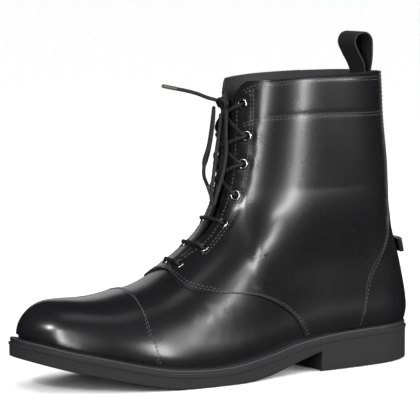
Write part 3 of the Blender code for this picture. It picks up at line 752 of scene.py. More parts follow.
    def face_at(self, x: float, z: float, side: int) -> tuple:
        """Args:
            x: X of a point of the side view.
            z: Its height.
            side: -1 outer, 1 inner.

        Returns:
            The point on the face and its outward direction.
        """
        step = 1.5 * MM
        here = Vector((x, float(self.skin_y(x, z, side)), z))
        dx = Vector((2 * step, float(self.skin_y(x + step, z, side) - self.skin_y(x - step, z, side)), 0.0))
        dz = Vector((0.0, float(self.skin_y(x, z + step, side) - self.skin_y(x, z - step, side)), 2 * step))
        out = dx.cross(dz)
        out = out if out.y * side > 0 else -out
        return here, out.normalized()

    def across_front(self, level: float, across: float) -> Vector:
        """Args:
            level: Share of the way up the front line.
            across: Distance across from that line.

        Returns:
            The place on the face, on the section square to the front line.
        """
        step = 1.0 / (len(self.front) - 1)
        level = min(max(level, step), 1.0 - step)
        spot = self.line_at(self.front, level)
        ahead = self.line_at(self.front, level + step) - self.line_at(self.front, level - step)
        ahead = ahead / np.linalg.norm(ahead)
        inward = np.array([ahead[1], -ahead[0]])
        depth = np.linspace(0.0, self.SECTION_DEPTH, self.SECTION_SAMPLES)
        x, z = spot[0] + inward[0] * depth, spot[1] + inward[1] * depth
        outer, inner = self.skin_y(x, z, -1), self.skin_y(x, z, 1)
        half = np.maximum.accumulate((inner - outer) / 2.0)
        half[0] = 0.0
        found = float(np.interp(abs(across), half, depth))
        middle = float(np.interp(found, depth, (inner + outer) / 2.0))
        return Vector((spot[0] + inward[0] * found, middle + across, spot[1] + inward[1] * found))

    def across_normal(self, level: float, across: float) -> Vector:
        """Args:
            level: Share of the way up the front line.
            across: Distance across from that line.

        Returns:
            The face's outward direction there.
        """
        small, near = 0.006, 1.5 * MM
        along = self.across_front(level + small, across) - self.across_front(level - small, across)
        over = self.across_front(level, across + near) - self.across_front(level, across - near)
        return along.cross(over).normalized()

    def patch(
        self, levels: Sequence[float], columns: int, wrap: Wrap, start: Callable, stop: Callable
    ) -> np.ndarray:
        """Args:
            levels: Rows from below up.
            columns: Steps on each side.
            wrap: Over the front or round the back.
            start: Function of row, level and side that gives the first turn.
            stop: The same for the last turn.

        Returns:
            Points as rows x columns x 3, from the outer side to the inner.
        """
        rows = []
        for level in levels:
            halves = []
            for side in (-1, 1):
                row = self.row(level, side)
                halves.append(row.even(start(row, level, side), stop(row, level, side), columns))
            outer, inner = halves
            if wrap is Wrap.FRONT:
                rows.append(np.concatenate([outer[::-1], inner[1:]]))
            else:
                rows.append(np.concatenate([outer, inner[::-1][1:]]))
        return np.array(rows)

    def throat_turn(self, row: Row, level: float, side: int) -> float:
        """Args:
            row: A row of the upper.
            level: Its level.
            side: -1 outer, 1 inner.

        Returns:
            The turn at which the leather starts beside the open throat.
        """
        high = self.line_at(self.front, level)[1] / SHAFT_HEIGHT
        if high <= THROAT_START:
            return 0.0
        table = np.array(THROAT)
        column = 1 if side < 0 else 2
        return row.where(row.half - np.interp(high, table[:, 0], table[:, column]) * MM)


LAST = Last()


class Socket:
    """A shader value that takes part in arithmetic."""

    def __init__(self, graph: "Graph", output: Any) -> None:
        """Args:
        graph: The graph that holds the node.
        output: The node's output.
        """
        self.graph = graph
        self.output = output

    def _join(self, kind: str, first: Any, second: Any) -> "Socket":
        """Args:
            kind: Operation of the Math node.
            first: Left value.
            second: Right value.

        Returns:
            The result.
        """
        return self.graph.node("ShaderNodeMath", {"operation": kind}, {0: first, 1: second})

    def __add__(self, other: Any) -> "Socket":
        """Sum."""
        return self._join("ADD", self, other)

    __radd__ = __add__

    def __mul__(self, other: Any) -> "Socket":
        """Product."""
        return self._join("MULTIPLY", self, other)

    def __sub__(self, other: Any) -> "Socket":
        """Difference."""
        return self._join("SUBTRACT", self, other)

    def sine(self) -> "Socket":
        """Sine."""
        return self.graph.node("ShaderNodeMath", {"operation": "SINE"}, {0: self})

    def most(self, other: Any) -> "Socket":
        """The larger of two."""
        return self._join("MAXIMUM", self, other)


class Graph:
    """One material's nodes round a Principled shader."""

    def __init__(self, name: str) -> None:
        """Args:
        name: The material's name.
        """
        self.material = bpy.data.materials.new(name)
        self.material.use_nodes = True
        self.nodes = self.material.node_tree.nodes
        self.links = self.material.node_tree.links
        self.shader = self.nodes["Principled BSDF"]

    def feed(self, target: Any, value: Any) -> None:
        """Puts a value or a link on an input.

        Args:
            target: The input.
            value: Number, tuple or Socket.
        """
        if isinstance(value, Socket):
            self.links.new(value.output, target)
        else:
            target.default_value = value

    def node(self, kind: str, settings: dict, sockets: dict, output: Any = 0) -> Socket:
        """Adds a node.

        Args:
            kind: Node type.
            settings: Its options.
            sockets: Values by input name or number.
            output: Name or number of the output wanted.

        Returns:
            That output.
        """
        made = self.nodes.new(kind)
        for name, value in settings.items():
            setattr(made, name, value)
        for name, value in sockets.items():
            self.feed(made.inputs[name], value)
        return Socket(self, made.outputs[output])

    def place(self) -> Socket:
        """Returns:
        Object coordinates.
        """
        return self.node("ShaderNodeTexCoord", {}, {}, "Object")

    def noise(self, scale: float, detail: float = 3.0, rough: float = 0.5) -> Socket:
        """Args:
            scale: Cells per metre.
            detail: Octaves.
            rough: Share of each further octave.

        Returns:
            Noise from 0 to 1.
        """
        sockets = {"Vector": self.place(), "Scale": scale, "Detail": detail, "Roughness": rough}
        return self.node("ShaderNodeTexNoise", {}, sockets, 0)

    def mix(self, share: Any, first: tuple, second: tuple) -> Socket:
        """Args:
            share: Share of the second colour.
            first: Colour.
            second: Colour.

        Returns:
            The mixed colour.
        """
        made = self.nodes.new("ShaderNodeMix")
        made.data_type = "RGBA"
        self.feed(made.inputs[0], share)
        self.feed(made.inputs[6], (*first, 1.0))
        self.feed(made.inputs[7], (*second, 1.0))
        return Socket(self, made.outputs[2])

    def bump(self, height: Socket, depth: float, strength: float, normal: Optional[Socket] = None) -> Socket:
        """Args:
            height: Height from 0 to 1.
            depth: Its size in metres.
            strength: Strength.
            normal: An earlier bump.

        Returns:
            The bent normal.
        """
        sockets = {"Height": height, "Distance": depth, "Strength": strength}
        if normal is not None:
            sockets["Normal"] = normal
        return self.node("ShaderNodeBump", {}, sockets, 0)

    def set(self, **values: Any) -> None:
        """Sets inputs of the Principled shader, with _ for a space in their names.

        Args:
            **values: Value per input.
        """
        for name, value in values.items():
            self.feed(self.shader.inputs[name.replace("_", " ")], value)


@dataclass(frozen=True)
class Leather:
    """Smooth grain leather with a thin gloss."""

    name: str
    colour: tuple = (0.0036, 0.0034, 0.0037)
    rough: float = 0.28
    coat: float = 0.15
    grain_mm: float = 0.02
    grain_scale: float = 900.0
    pore_scale: float = 2400.0
    ripple_mm: float = 0.04
    ripple_scale: float = 120.0
    wear_scale: float = 28.0

    def material(self) -> bpy.types.Material:
        """Returns:
        The finished material.
        """
        g = Graph(self.name)
        cells = g.node(
            "ShaderNodeTexVoronoi",
            {"feature": "DISTANCE_TO_EDGE"},
            {"Vector": g.place(), "Scale": self.grain_scale},
            "Distance",
        )
        fine = g.noise(self.pore_scale, 2.0)
        broad = g.noise(self.ripple_scale, 4.0, 0.6)
        wear = g.noise(self.wear_scale, 3.0, 0.55)
        grain = g.bump(cells * 0.8 + fine * 0.5, self.grain_mm * MM, 0.4)
        soft = g.bump(broad, self.ripple_mm * MM, 0.4, grain)
        g.set(
            Base_Color=g.mix(wear, self.colour, tint(self.colour, 1.7)),
            Roughness=self.rough + (broad - 0.5) * 0.04 + (wear - 0.5) * 0.08,
            Coat_Weight=self.coat,
            Coat_Roughness=0.22,
            Normal=soft,
        )
        return g.material


@dataclass(frozen=True)
class Matt:
    """Rubber, plastic or cloth with fine noise."""

    name: str
    colour: tuple
    rough: float
    bump_mm: float = 0.05
    scale: float = 1500.0

    def material(self) -> bpy.types.Material:
        """Returns:
        The finished material.
        """
        g = Graph(self.name)
        fine = g.noise(self.scale, 4.0, 0.6)
        broad = g.noise(60.0, 3.0, 0.5)
        g.set(
            Base_Color=g.mix(broad, self.colour, tint(self.colour, 1.5)),
            Roughness=self.rough + (broad - 0.5) * 0.12,
            Normal=g.bump(fine, self.bump_mm * MM, 0.6),
        )
        return g.material


@dataclass(frozen=True)
class Metal:
    """Polished nickel."""

    name: str
    colour: tuple = (0.34, 0.335, 0.33)
    rough: float = 0.26

    def material(self) -> bpy.types.Material:
        """Returns:
        The finished material.
        """
        g = Graph(self.name)
        scuff = g.noise(700.0, 3.0)
        g.set(Base_Color=(*self.colour, 1.0), Metallic=1.0, Roughness=self.rough + (scuff - 0.5) * 0.12)
        return g.material


@dataclass(frozen=True)
class Braid:
    """Braided cord, from a map of length in metres and share of the way round."""

    name: str
    colour: tuple = (0.0020, 0.0020, 0.0022)
    strands: float = 5.0
    pitch_mm: float = 3.2
    depth_mm: float = 0.16

    def material(self) -> bpy.types.Material:
        """Returns:
        The finished material.
        """
        g = Graph(self.name)
        spot = g.node("ShaderNodeTexCoord", {}, {}, "UV")
        along = g.node("ShaderNodeSeparateXYZ", {}, {0: spot}, "X")
        round_ = g.node("ShaderNodeSeparateXYZ", {}, {0: spot}, "Y")
        full = 2.0 * math.pi
        run = along * (full * 1000.0 / self.pitch_mm)
        turn = round_ * (full * self.strands)
        one = (run + turn).sine()
        two = (run - turn).sine()
        weave = one.most(two) * 0.5 + 0.5
        fuzz = g.noise(4000.0, 2.0)
        g.set(
            Base_Color=g.mix(weave, tint(self.colour, 0.45), tint(self.colour, 1.6)),
            Roughness=0.72,
            Sheen_Weight=0.01,
            Normal=g.bump(weave + fuzz * 0.3, self.depth_mm * MM, 0.8),
        )
        return g.material


@dataclass(frozen=True)
class Webbing:
    """Woven tape, with its ribs set in the boot's own coordinates."""

    name: str
    colour: tuple = (0.0026, 0.0026, 0.0028)
    rib_rate: float = 5200.0
    slant_rate: float = 2600.0
    row_rate: float = 5600.0

    def material(self) -> bpy.types.Material:
        """Returns:
        The finished material.
        """
        g = Graph(self.name)
        spot = g.place()
        parts = {axis: g.node("ShaderNodeSeparateXYZ", {}, {0: spot}, axis) for axis in "XYZ"}
        ribs = (parts["Z"] * self.rib_rate + parts["X"] * self.slant_rate).sine()
        rows = (parts["Y"] * self.row_rate).sine()
        weave = ribs * rows * 0.5 + 0.5
        g.set(
            Base_Color=g.mix(weave, tint(self.colour, 0.6), tint(self.colour, 1.7)),
            Roughness=0.75,
            Sheen_Weight=0.01,
            Normal=g.bump(weave, 0.12 * MM, 0.7),
        )
        return g.material


class Palette:
    """Every finish of the boot, made once."""

    def __init__(self) -> None:
        """Makes the materials."""
        self.upper = Leather("upper_leather").material()
        self.cap = Leather("cap_leather", rough=0.26, coat=0.2).material()
        self.edge = Matt("cut_edge", (0.008, 0.008, 0.008), 0.5, 0.03).material()
        self.lining = Matt("lining", (0.012, 0.012, 0.013), 0.7, 0.06, 1800.0).material()
        self.thread = Matt("thread", (0.030, 0.030, 0.032), 0.55, 0.04, 5000.0).material()
        self.rubber = Matt("sole_rubber", (0.0045, 0.0046, 0.005), 0.85, 0.05, 1300.0).material()
        self.welt = Matt("welt_rubber", (0.008, 0.0082, 0.009), 0.6, 0.04, 1500.0).material()
        self.foot = Matt("footbed", (0.03, 0.028, 0.026), 0.85, 0.10, 900.0).material()
        self.metal = Metal("nickel").material()
        self.cord = Braid("lace_braid").material()
        self.tip = Matt("lace_tip", (0.035, 0.032, 0.030), 0.35, 0.02, 1500.0).material()
        self.webbing = Webbing("loop_webbing").material()
        self.floor = Matt("pale_floor", (0.62, 0.62, 0.62), 0.9, 0.0, 10.0).material()


def place_mesh(name: str, vertices: np.ndarray, faces: Sequence) -> bpy.types.Object:
    """Makes an object of points in the source frame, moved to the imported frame.

    Args:
        name: Object name.
        vertices: Points, one a row.
        faces: Corner numbers of each face.

    Returns:
        The object, riding on the body.
    """
    mesh = bpy.data.meshes.new(name)
    mesh.from_pydata((np.asarray(vertices, float) + SHIFT).tolist(), [], faces)
    thing = bpy.data.objects.new(name, mesh)
    bpy.context.scene.collection.objects.link(thing)
    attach(thing, BODY)
    return thing


def settle(thing: bpy.types.Object, materials: Sequence, sharp: float = 40.0, weld: float = 0.004) -> None:
    """Welds, turns faces outward, shades and paints a mesh.

    Args:
        thing: The object.
        materials: Its materials in slot order.
        sharp: Angle in degrees above which an edge stays sharp.
        weld: Distance in mm under which corners join.
    """
    work = bmesh.new()
    work.from_mesh(thing.data)
    bmesh.ops.remove_doubles(work, verts=work.verts, dist=weld * MM)
    bmesh.ops.recalc_face_normals(work, faces=work.faces)
    work.to_mesh(thing.data)
    work.free()
    for material in materials:
        thing.data.materials.append(material)
    thing.data.shade_smooth()
    thing.data.set_sharp_from_angle(angle=math.radians(sharp))


def sheet_normals(points: np.ndarray) -> np.ndarray:
    """Outward directions of a grid of points round the boot.

    Args:
        points: Rows x columns x 3.

    Returns:
        Directions of the same shape.
    """
    made = np.cross(np.gradient(points, axis=1), np.gradient(points, axis=0))
    size = np.linalg.norm(made, axis=2)
    middle = points.reshape(-1, 3).mean(0)
    if (made * (points - middle)).sum() < 0:
        made = -made
    weak = size < 1e-4 * np.median(size)
    made = unit(made)
    for r, c in np.argwhere(weak):
        made[r, c] = made[max(r - 1, 0), c]
    return unit(made)


@dataclass
class Shell:
    """A leather piece: a grid with a top face, a back face and a rolled edge between them."""

    name: str
    points: np.ndarray
    top: Any
    under: float
    roll: float = 0.35 * MM
    steps: int = 5
    holes: Sequence = ()
    hole_radius: float = 2.7 * MM
    hole_depth: float = 8 * MM
    normals: Optional[np.ndarray] = None

    def build(self, slot: str, materials: Sequence) -> bpy.types.Object:
        """Args:
            slot: Not used.
            materials: Face, edge and back materials.

        Returns:
            The closed object.
        """
        grid = self.points
        count_r, count_c = grid.shape[:2]
        out = self.normals if self.normals is not None else sheet_normals(grid)
        top = np.broadcast_to(self.top, (count_r, count_c))[..., None]
        outer, inner = grid + out * top, grid + out * self.under
        rim = [(0, c) for c in range(count_c)] + [(r, count_c - 1) for r in range(1, count_r)]
        rim += [(count_r - 1, c) for c in range(count_c - 2, -1, -1)]
        rim += [(r, 0) for r in range(count_r - 2, 0, -1)]
        down = unit(outer[0] - outer[1])
        up = unit(outer[-1] - outer[-2])
        left = unit(outer[:, 0] - outer[:, 1])
        right = unit(outer[:, -1] - outer[:, -2])
        away = []
        for r, c in rim:
            way = np.zeros(3)
            way += down[c] if r == 0 else 0.0
            way += up[c] if r == count_r - 1 else 0.0
            way += left[r] if c == 0 else 0.0
            way += right[r] if c == count_c - 1 else 0.0
            away.append(way)
        away = unit(np.array(away))
        rows, cols = np.array(rim).T
        start, end = outer[rows, cols], inner[rows, cols]
        vertices = [outer.reshape(-1, 3), inner.reshape(-1, 3)]
        total = count_r * count_c
        chain = [rows * count_c + cols]
        for k in range(1, self.steps):
            part = (1.0 - math.cos(math.pi * k / self.steps)) / 2.0
            bulge = self.roll * math.sin(math.pi * k / self.steps)
            vertices.append(start * (1 - part) + end * part + away * bulge)
            chain.append(2 * total + (k - 1) * len(rim) + np.arange(len(rim)))
        chain.append(total + rows * count_c + cols)
        index = np.arange(total).reshape(count_r, count_c)
        quads = np.stack([index[:-1, :-1], index[:-1, 1:], index[1:, 1:], index[1:, :-1]], -1)
        kept = quads[~self._holes(outer)]
        faces = kept.tolist() + (kept[:, ::-1] + total).tolist()
        slots = [0] * len(kept) + [2] * len(kept)
        for first, second in zip(chain, chain[1:]):
            strip = np.stack([first, second, np.roll(second, -1), np.roll(first, -1)], -1)
            faces += strip.tolist()
            slots += [1] * len(strip)
        thing = place_mesh(self.name, np.concatenate(vertices), faces)
        thing.data.polygons.foreach_set("material_index", np.array(slots, np.int32))
        settle(thing, materials)
        return thing

    def _holes(self, outer: np.ndarray) -> np.ndarray:
        """Args:
            outer: The top face's points.

        Returns:
            True for each quad that a hole takes away.
        """
        middle = (outer[:-1, :-1] + outer[1:, 1:]) / 2.0
        gone = np.zeros(middle.shape[:2], bool)
        for centre, axis in self.holes:
            reach = middle - np.array(centre)
            depth = reach @ np.array(axis)
            away = np.linalg.norm(reach - depth[..., None] * np.array(axis), axis=-1)
            gone |= (away < self.hole_radius) & (np.abs(depth) < self.hole_depth)
        return gone


@dataclass(frozen=True)
class Crease:
    """A soft fold drawn in the side view: a trough with a low ridge on each flank."""

    points: tuple
    width_mm: float
    depth_mm: float
    flank: float = 0.4

    def height(self, points: np.ndarray) -> np.ndarray:
        """Args:
            points: Points of a sheet, last axis X, Y, Z.

        Returns:
            What to add along the outward direction.
        """
        line = smooth_line(side_points(self.points), 24)
        away, spot = near_line(line, points[..., (0, 2)])
        fade = np.clip(4.0 * spot * (1.0 - spot), 0.0, 1.0)
        reach = away / (self.width_mm * MM)
        lump = -np.exp(-(reach**2)) + self.flank * reach**2 * np.exp(-0.7 * reach**2)
        return self.depth_mm * MM * fade * lump


@dataclass(frozen=True)
class Channel:
    """A shallow groove in which a seam's stitches lie."""

    points: tuple
    width_mm: float = 1.5
    depth_mm: float = 0.25

    def height(self, points: np.ndarray) -> np.ndarray:
        """Args:
            points: Points of a sheet.

        Returns:
            What to add along the outward direction.
        """
        line = smooth_line(side_points(self.points), 60)
        away, _ = near_line(line, points[..., (0, 2)])
        return -self.depth_mm * MM * np.exp(-((away / (self.width_mm * MM)) ** 2))


VAMP_CREASES = (
    Crease(((0.335, 0.30), (0.350, 0.25), (0.352, 0.20), (0.345, 0.15)), 5.0, 0.16),
    Crease(((0.385, 0.28), (0.402, 0.24), (0.408, 0.19), (0.402, 0.14)), 3.6, 0.20),
    Crease(((0.418, 0.27), (0.432, 0.23), (0.433, 0.18), (0.428, 0.13)), 3.0, 0.18),
    Crease(((0.448, 0.26), (0.458, 0.22), (0.462, 0.17), (0.458, 0.11)), 3.2, 0.20),
    Crease(((0.478, 0.25), (0.490, 0.21), (0.496, 0.16), (0.493, 0.12)), 3.4, 0.14),
)
SHAFT_CREASES = (
    Crease(((0.640, 0.60), (0.600, 0.50), (0.540, 0.42)), 8.0, 0.10, 0.0),
)


@dataclass
class Boot:
    """What the sub-assemblies share."""

    palette: Palette
    eyelets: list = field(default_factory=list)
    dish_mm: float = 0.45
    top_dish_mm: float = 0.75
    dish_reach: float = 4.2 * MM
    pucker_mm: float = 0.18
    pucker_radius: float = 7.0 * MM
    pucker_reach: float = 1.8 * MM

    def find_eyelets(self) -> None:
        """Works out each eyelet's place and outward direction."""
        for side in (-1, 1):
            for along, high in EYELETS:
                here, out = LAST.face_at(at_length(along), at_height(high), side)
                self.eyelets.append((here, out))

    def dish(self, points: np.ndarray) -> np.ndarray:
        """Args:
            points: Points of the quarters.

        Returns:
            The hollow and pucker round each eyelet.
        """
        made = np.zeros(points.shape[:-1])
        for number, (centre, _) in enumerate(self.eyelets):
            away = np.linalg.norm(points - np.array(centre), axis=-1)
            deep = self.top_dish_mm if number % PAIRS == PAIRS - 1 else self.dish_mm
            made -= deep * MM * np.exp(-((away / self.dish_reach) ** 2))
            ridge = (away - self.pucker_radius) / self.pucker_reach
            made += self.pucker_mm * MM * np.exp(-(ridge**2))
        return made


class Upper:
    """Vamp, quarters, toe cap, counter and tongue."""

    # levels run from 0 at the feather to 1 at the collar, turns from the front line to the back
    VAMP_FOOT = 0.004
    VAMP_TUCK = 0.16
    VAMP_ROWS = 118
    VAMP_COLUMNS = 105
    QUARTER_FOOT = 0.0245
    RIM_LEVELS = (0.955, 0.9585)
    QUARTER_COLUMNS = 100
    SEAM_END = 0.375
    CAP_FOOT = 0.0225
    CAP_TIP_TURN = 0.012
    COUNTER_LEVELS = (0.031, 0.999)
    TONGUE_LEVELS = (0.455, 0.952)

    def __init__(self, boot: Boot) -> None:
        """Args:
        boot: What the sub-assemblies share.
        """
        self.boot = boot
        self.quarter = Edge(QUARTER_EDGE)
        self.cap = Edge(CAP_EDGE)
        self.counter = Edge(COUNTER_EDGE)
        self.made: dict = {}
        self.edges: dict = {}

    def quarter_turn(self, row: Row, level: float, side: int) -> float:
        """Args:
            row: A row of the upper.
            level: Its level.
            side: -1 outer, 1 inner.

        Returns:
            Where the quarter starts on it.
        """
        behind = self.quarter.behind(row.points[:, 0], row.points[:, 2], -1.0)
        return max(row.where(behind), LAST.throat_turn(row, level, side))

    def build(self) -> None:
        """Builds the five leather pieces."""
        self._vamp()
        self._quarters()
        self._cap()
        self._counter()
        self._tongue()

    def _vamp(self) -> None:
        """The vamp, from the toe to under the quarters."""
        p = self.boot.palette
        levels = np.linspace(self.VAMP_FOOT, LAST.level_at(at_height(THROAT_START)), self.VAMP_ROWS)

        def stop(row: Row, level: float, side: int) -> float:
            return min(self.quarter_turn(row, level, side) + self.VAMP_TUCK, math.pi - 0.02)

        points = LAST.patch(levels, self.VAMP_COLUMNS, Wrap.FRONT, front_turn, stop)
        top = sum(crease.height(points) for crease in VAMP_CREASES)
        shell = Shell("vamp", points, top, -LEATHER, 0.2 * MM)
        thing = shell.build("shell_leather", (p.upper, p.edge, p.lining))
        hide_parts("upper")
        self.made["vamp"] = thing

    def _quarters(self) -> None:
        """Both quarters with the shaft's lining."""
        p = self.boot.palette
        wall = np.linspace(self.QUARTER_FOOT, self.RIM_LEVELS[0], 132)
        levels = np.concatenate([wall, np.linspace(self.RIM_LEVELS[1], 1.0, 12)])
        points = LAST.patch(levels, self.QUARTER_COLUMNS, Wrap.BACK, self.quarter_turn, back_turn)
        top = OVERLAY + sum(crease.height(points) for crease in SHAFT_CREASES)
        top = top + self.boot.dish(points)
        for line in (FACING_LINE, COLLAR_LINE, CUFF_LINE):
            top = top + Channel(line).height(points)
        holes = [(tuple(centre), tuple(out)) for centre, out in self.boot.eyelets]
        shell = Shell("quarters_skin", points, top, -LEATHER, 0.5 * MM, 6, holes)
        thing = shell.build("quarter_leather", (p.upper, p.edge, p.lining))
        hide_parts("quarters")
        self.made["quarters"] = thing
        start = int(np.argmax(levels > LAST.level_at(at_height(self.SEAM_END))))
        out = sheet_normals(points) * OVERLAY
        self.edges["quarter_outer"] = (points + out)[:start, 0]
        self.edges["quarter_inner"] = (points + out)[:start, -1]

    def _cap(self) -> None:
        """The toe cap."""
        p = self.boot.palette

        def stop(row: Row, level: float, side: int) -> float:
            return row.where(self.cap.behind(row.points[:, 0], row.points[:, 2], 1.0))

        top_level = self.CAP_FOOT
        for level in np.linspace(0.1, 0.6, 400):
            if stop(LAST.row(level, -1), level, -1) < self.CAP_TIP_TURN:
                break
            top_level = level
        levels = self.CAP_FOOT + (top_level - self.CAP_FOOT) * np.linspace(0.0, 1.0, 96) ** 0.9
        points = LAST.patch(levels, 60, Wrap.FRONT, front_turn, stop)
        shell = Shell("toe_cap_skin", points, OVERLAY, -0.5 * MM, 0.25 * MM)
        thing = shell.build("cap_leather", (p.cap, p.edge, p.edge))
        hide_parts("toe_cap")
        self.made["cap"] = thing
        out = points + sheet_normals(points) * OVERLAY
        self.edges["cap"] = np.concatenate([out[:, 0], out[::-1, -1]])

    def _counter(self) -> None:
        """The counter and its strip up the back seam."""
        p = self.boot.palette
        levels = np.linspace(*self.COUNTER_LEVELS, 120)

        def start(row: Row, level: float, side: int) -> float:
            return row.where(self.counter.behind(row.points[:, 0], row.points[:, 2], 1.0))

        points = LAST.patch(levels, 34, Wrap.BACK, start, back_turn)
        shell = Shell("counter_skin", points, COUNTER_TOP, 0.2 * MM, 0.25 * MM)
        thing = shell.build("counter_leather", (p.upper, p.edge, p.edge))
        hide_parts("counter")
        self.made["counter"] = thing
        out = points + sheet_normals(points) * COUNTER_TOP
        self.edges["counter_outer"] = out[:, 0]
        self.edges["counter_inner"] = out[:, -1]

    def _tongue(self) -> None:
        """The tongue, a little padded, under the throat."""
        p = self.boot.palette
        levels = np.linspace(*self.TONGUE_LEVELS, 56)
        widths = np.linspace(-1.0, 1.0, 25) * TONGUE_HALF
        points = np.array([[LAST.across_front(level, across) for across in widths] for level in levels])
        out = np.array([[LAST.across_normal(level, across) for across in widths] for level in levels])
        under = LEATHER + TONGUE_GAP
        shell = Shell("tongue_skin", points, -under, -under - TONGUE_THICK, 0.4 * MM, normals=out)
        thing = shell.build("tongue_leather", (p.upper, p.edge, p.lining))
        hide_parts("tongue")
        self.made["tongue"] = thing


@dataclass
class Stitching:
    """Rows of thread on the leather, as one object."""

    boot: Boot
    upper: Upper
    pitch: float = 2.7 * MM
    half_length: float = 1.05 * MM
    radius: float = 0.30 * MM
    proud: float = 0.05 * MM
    step: float = 0.6 * MM

    def __post_init__(self) -> None:
        """Prepares the shape of one stitch and a lookup for each piece."""
        work = bmesh.new()
        bmesh.ops.create_uvsphere(work, u_segments=6, v_segments=5, radius=1.0)
        self.bead = np.array([v.co for v in work.verts])
        self.bead_faces = [[v.index for v in f.verts] for f in work.faces]
        work.free()
        self.vertices: list = []
        self.faces: list = []
        self.trees = {}
        for piece in ("cap", "quarters", "counter"):
            work = bmesh.new()
            work.from_mesh(self.upper.made[piece].data)
            self.trees[piece] = BVHTree.FromBMesh(work)
            work.free()

    def calm(self, line: np.ndarray, reach: int) -> np.ndarray:
        """Args:
            line: Points of a line.
            reach: How many neighbours on each side count.

        Returns:
            The line without its jitter, with the same ends.
        """
        last = len(line) - 1
        spots = np.arange(len(line))
        near = np.minimum(np.minimum(spots, last - spots), reach)
        return np.array([line[i - n : i + n + 1].mean(0) for i, n in enumerate(near)])

    def row(self, path: np.ndarray, piece: str, shift: float, toward: tuple) -> None:
        """Adds one row of stitches.

        Args:
            path: Points of the line in the source frame.
            piece: Name of the piece it lies on.
            shift: How far to one side of the line.
            toward: A direction that the shift goes to.
        """
        tree = self.trees[piece]
        run = run_of(path)
        spots = np.linspace(0.0, run[-1], max(3, int(run[-1] / self.step)))
        line = self.calm(read_line(path, run, spots) + SHIFT, 12)
        ahead = unit(np.gradient(line, axis=0))
        moved = []
        for here, way in zip(line, ahead):
            _, normal, _, _ = tree.find_nearest(Vector(here))
            side = np.cross(np.array(normal), way)
            side = side if side @ np.array(toward) > 0 else -side
            found, _, _, _ = tree.find_nearest(Vector(here + side * shift))
            moved.append(np.array(found))
        moved = self.calm(np.array(moved), 8)
        run = run_of(moved)
        local = self.bead * np.array((self.half_length, self.radius, self.radius))
        for spot in np.arange(self.pitch / 2, run[-1], self.pitch):
            back, here, on = read_line(moved, run, spot + self.pitch * np.array((-0.5, 0.0, 0.5)))
            found, normal, _, _ = tree.find_nearest(Vector(here))
            normal = np.array(normal)
            way = unit(on - back)
            side = unit(np.cross(normal, way))
            world = np.array(found) + local @ np.stack([way, side, normal]) + normal * self.proud
            offset = sum(len(v) for v in self.vertices)
            self.vertices.append(world - SHIFT)
            self.faces += [[i + offset for i in face] for face in self.bead_faces]

    def face_path(self, table: Sequence, side: int) -> np.ndarray:
        """Args:
            table: Rows of share of length and share of shaft height.
            side: -1 outer, 1 inner.

        Returns:
            The line on the upper's face.
        """
        flat = smooth_line(side_points(table), 160)
        y = LAST.skin_y(flat[:, 0], flat[:, 1], side)
        return np.stack([flat[:, 0], y, flat[:, 1]], 1)

    def build(self) -> None:
        """Sews every seam that shows."""
        edges = self.upper.edges
        for shift in (1.7 * MM, 3.9 * MM):
            self.row(edges["cap"], "cap", shift, (-1.0, 0.0, 0.0))
            self.row(edges["quarter_outer"], "quarters", shift, (0.4, 0.0, 1.0))
            self.row(edges["quarter_inner"], "quarters", shift, (0.4, 0.0, 1.0))
        for side, name in ((-1, "outer"), (1, "inner")):
            self.row(edges["counter_" + name][4:], "counter", 1.4 * MM, (1.0, 0.0, 0.0))
            for shift in (0.0, 2.1 * MM):
                self.row(self.face_path(FACING_LINE, side), "quarters", shift, (-1.0, 0.0, 0.3))
                self.row(self.face_path(COLLAR_LINE, side), "quarters", shift, (0.2, 0.0, -1.0))
                self.row(self.face_path(CUFF_LINE, side), "quarters", shift, (0.0, 0.0, -1.0))
            self.row(self.face_path(THROAT_STITCH, side), "quarters", 0.0, (-1.0, 0.0, 0.0))
        thing = place_mesh("stitching", np.concatenate(self.vertices), self.faces)
        settle(thing, (self.boot.palette.thread,), 80.0)


def ring(amount: float, height: Callable, count: int) -> np.ndarray:
    """Points round the sole's edge.

    Args:
        amount: Inset from the edge.
        height: Function of X.
        count: Stations on each side.

    Returns:
        Outer and inner line, 2 x stations x 3, from toe to heel.
    """
    first, second = LAST.inset_edges(amount) if amount else LAST.sole_edges()
    low, high = max(first[0, 0], second[0, 0]), min(first[-1, 0], second[-1, 0])
    turn = np.linspace(0.0, math.pi, count + 1)
    x = low + (high - low) * (1.0 - np.cos(turn)) / 2.0
    outer, inner = np.interp(x, first[:, 0], first[:, 1]), np.interp(x, second[:, 0], second[:, 1])
    outer[0] = inner[0] = (outer[0] + inner[0]) / 2.0
    outer[-1] = inner[-1] = (outer[-1] + inner[-1]) / 2.0
    z = height(x)
    return np.array([np.stack([x, outer, z], 1), np.stack([x, inner, z], 1)])


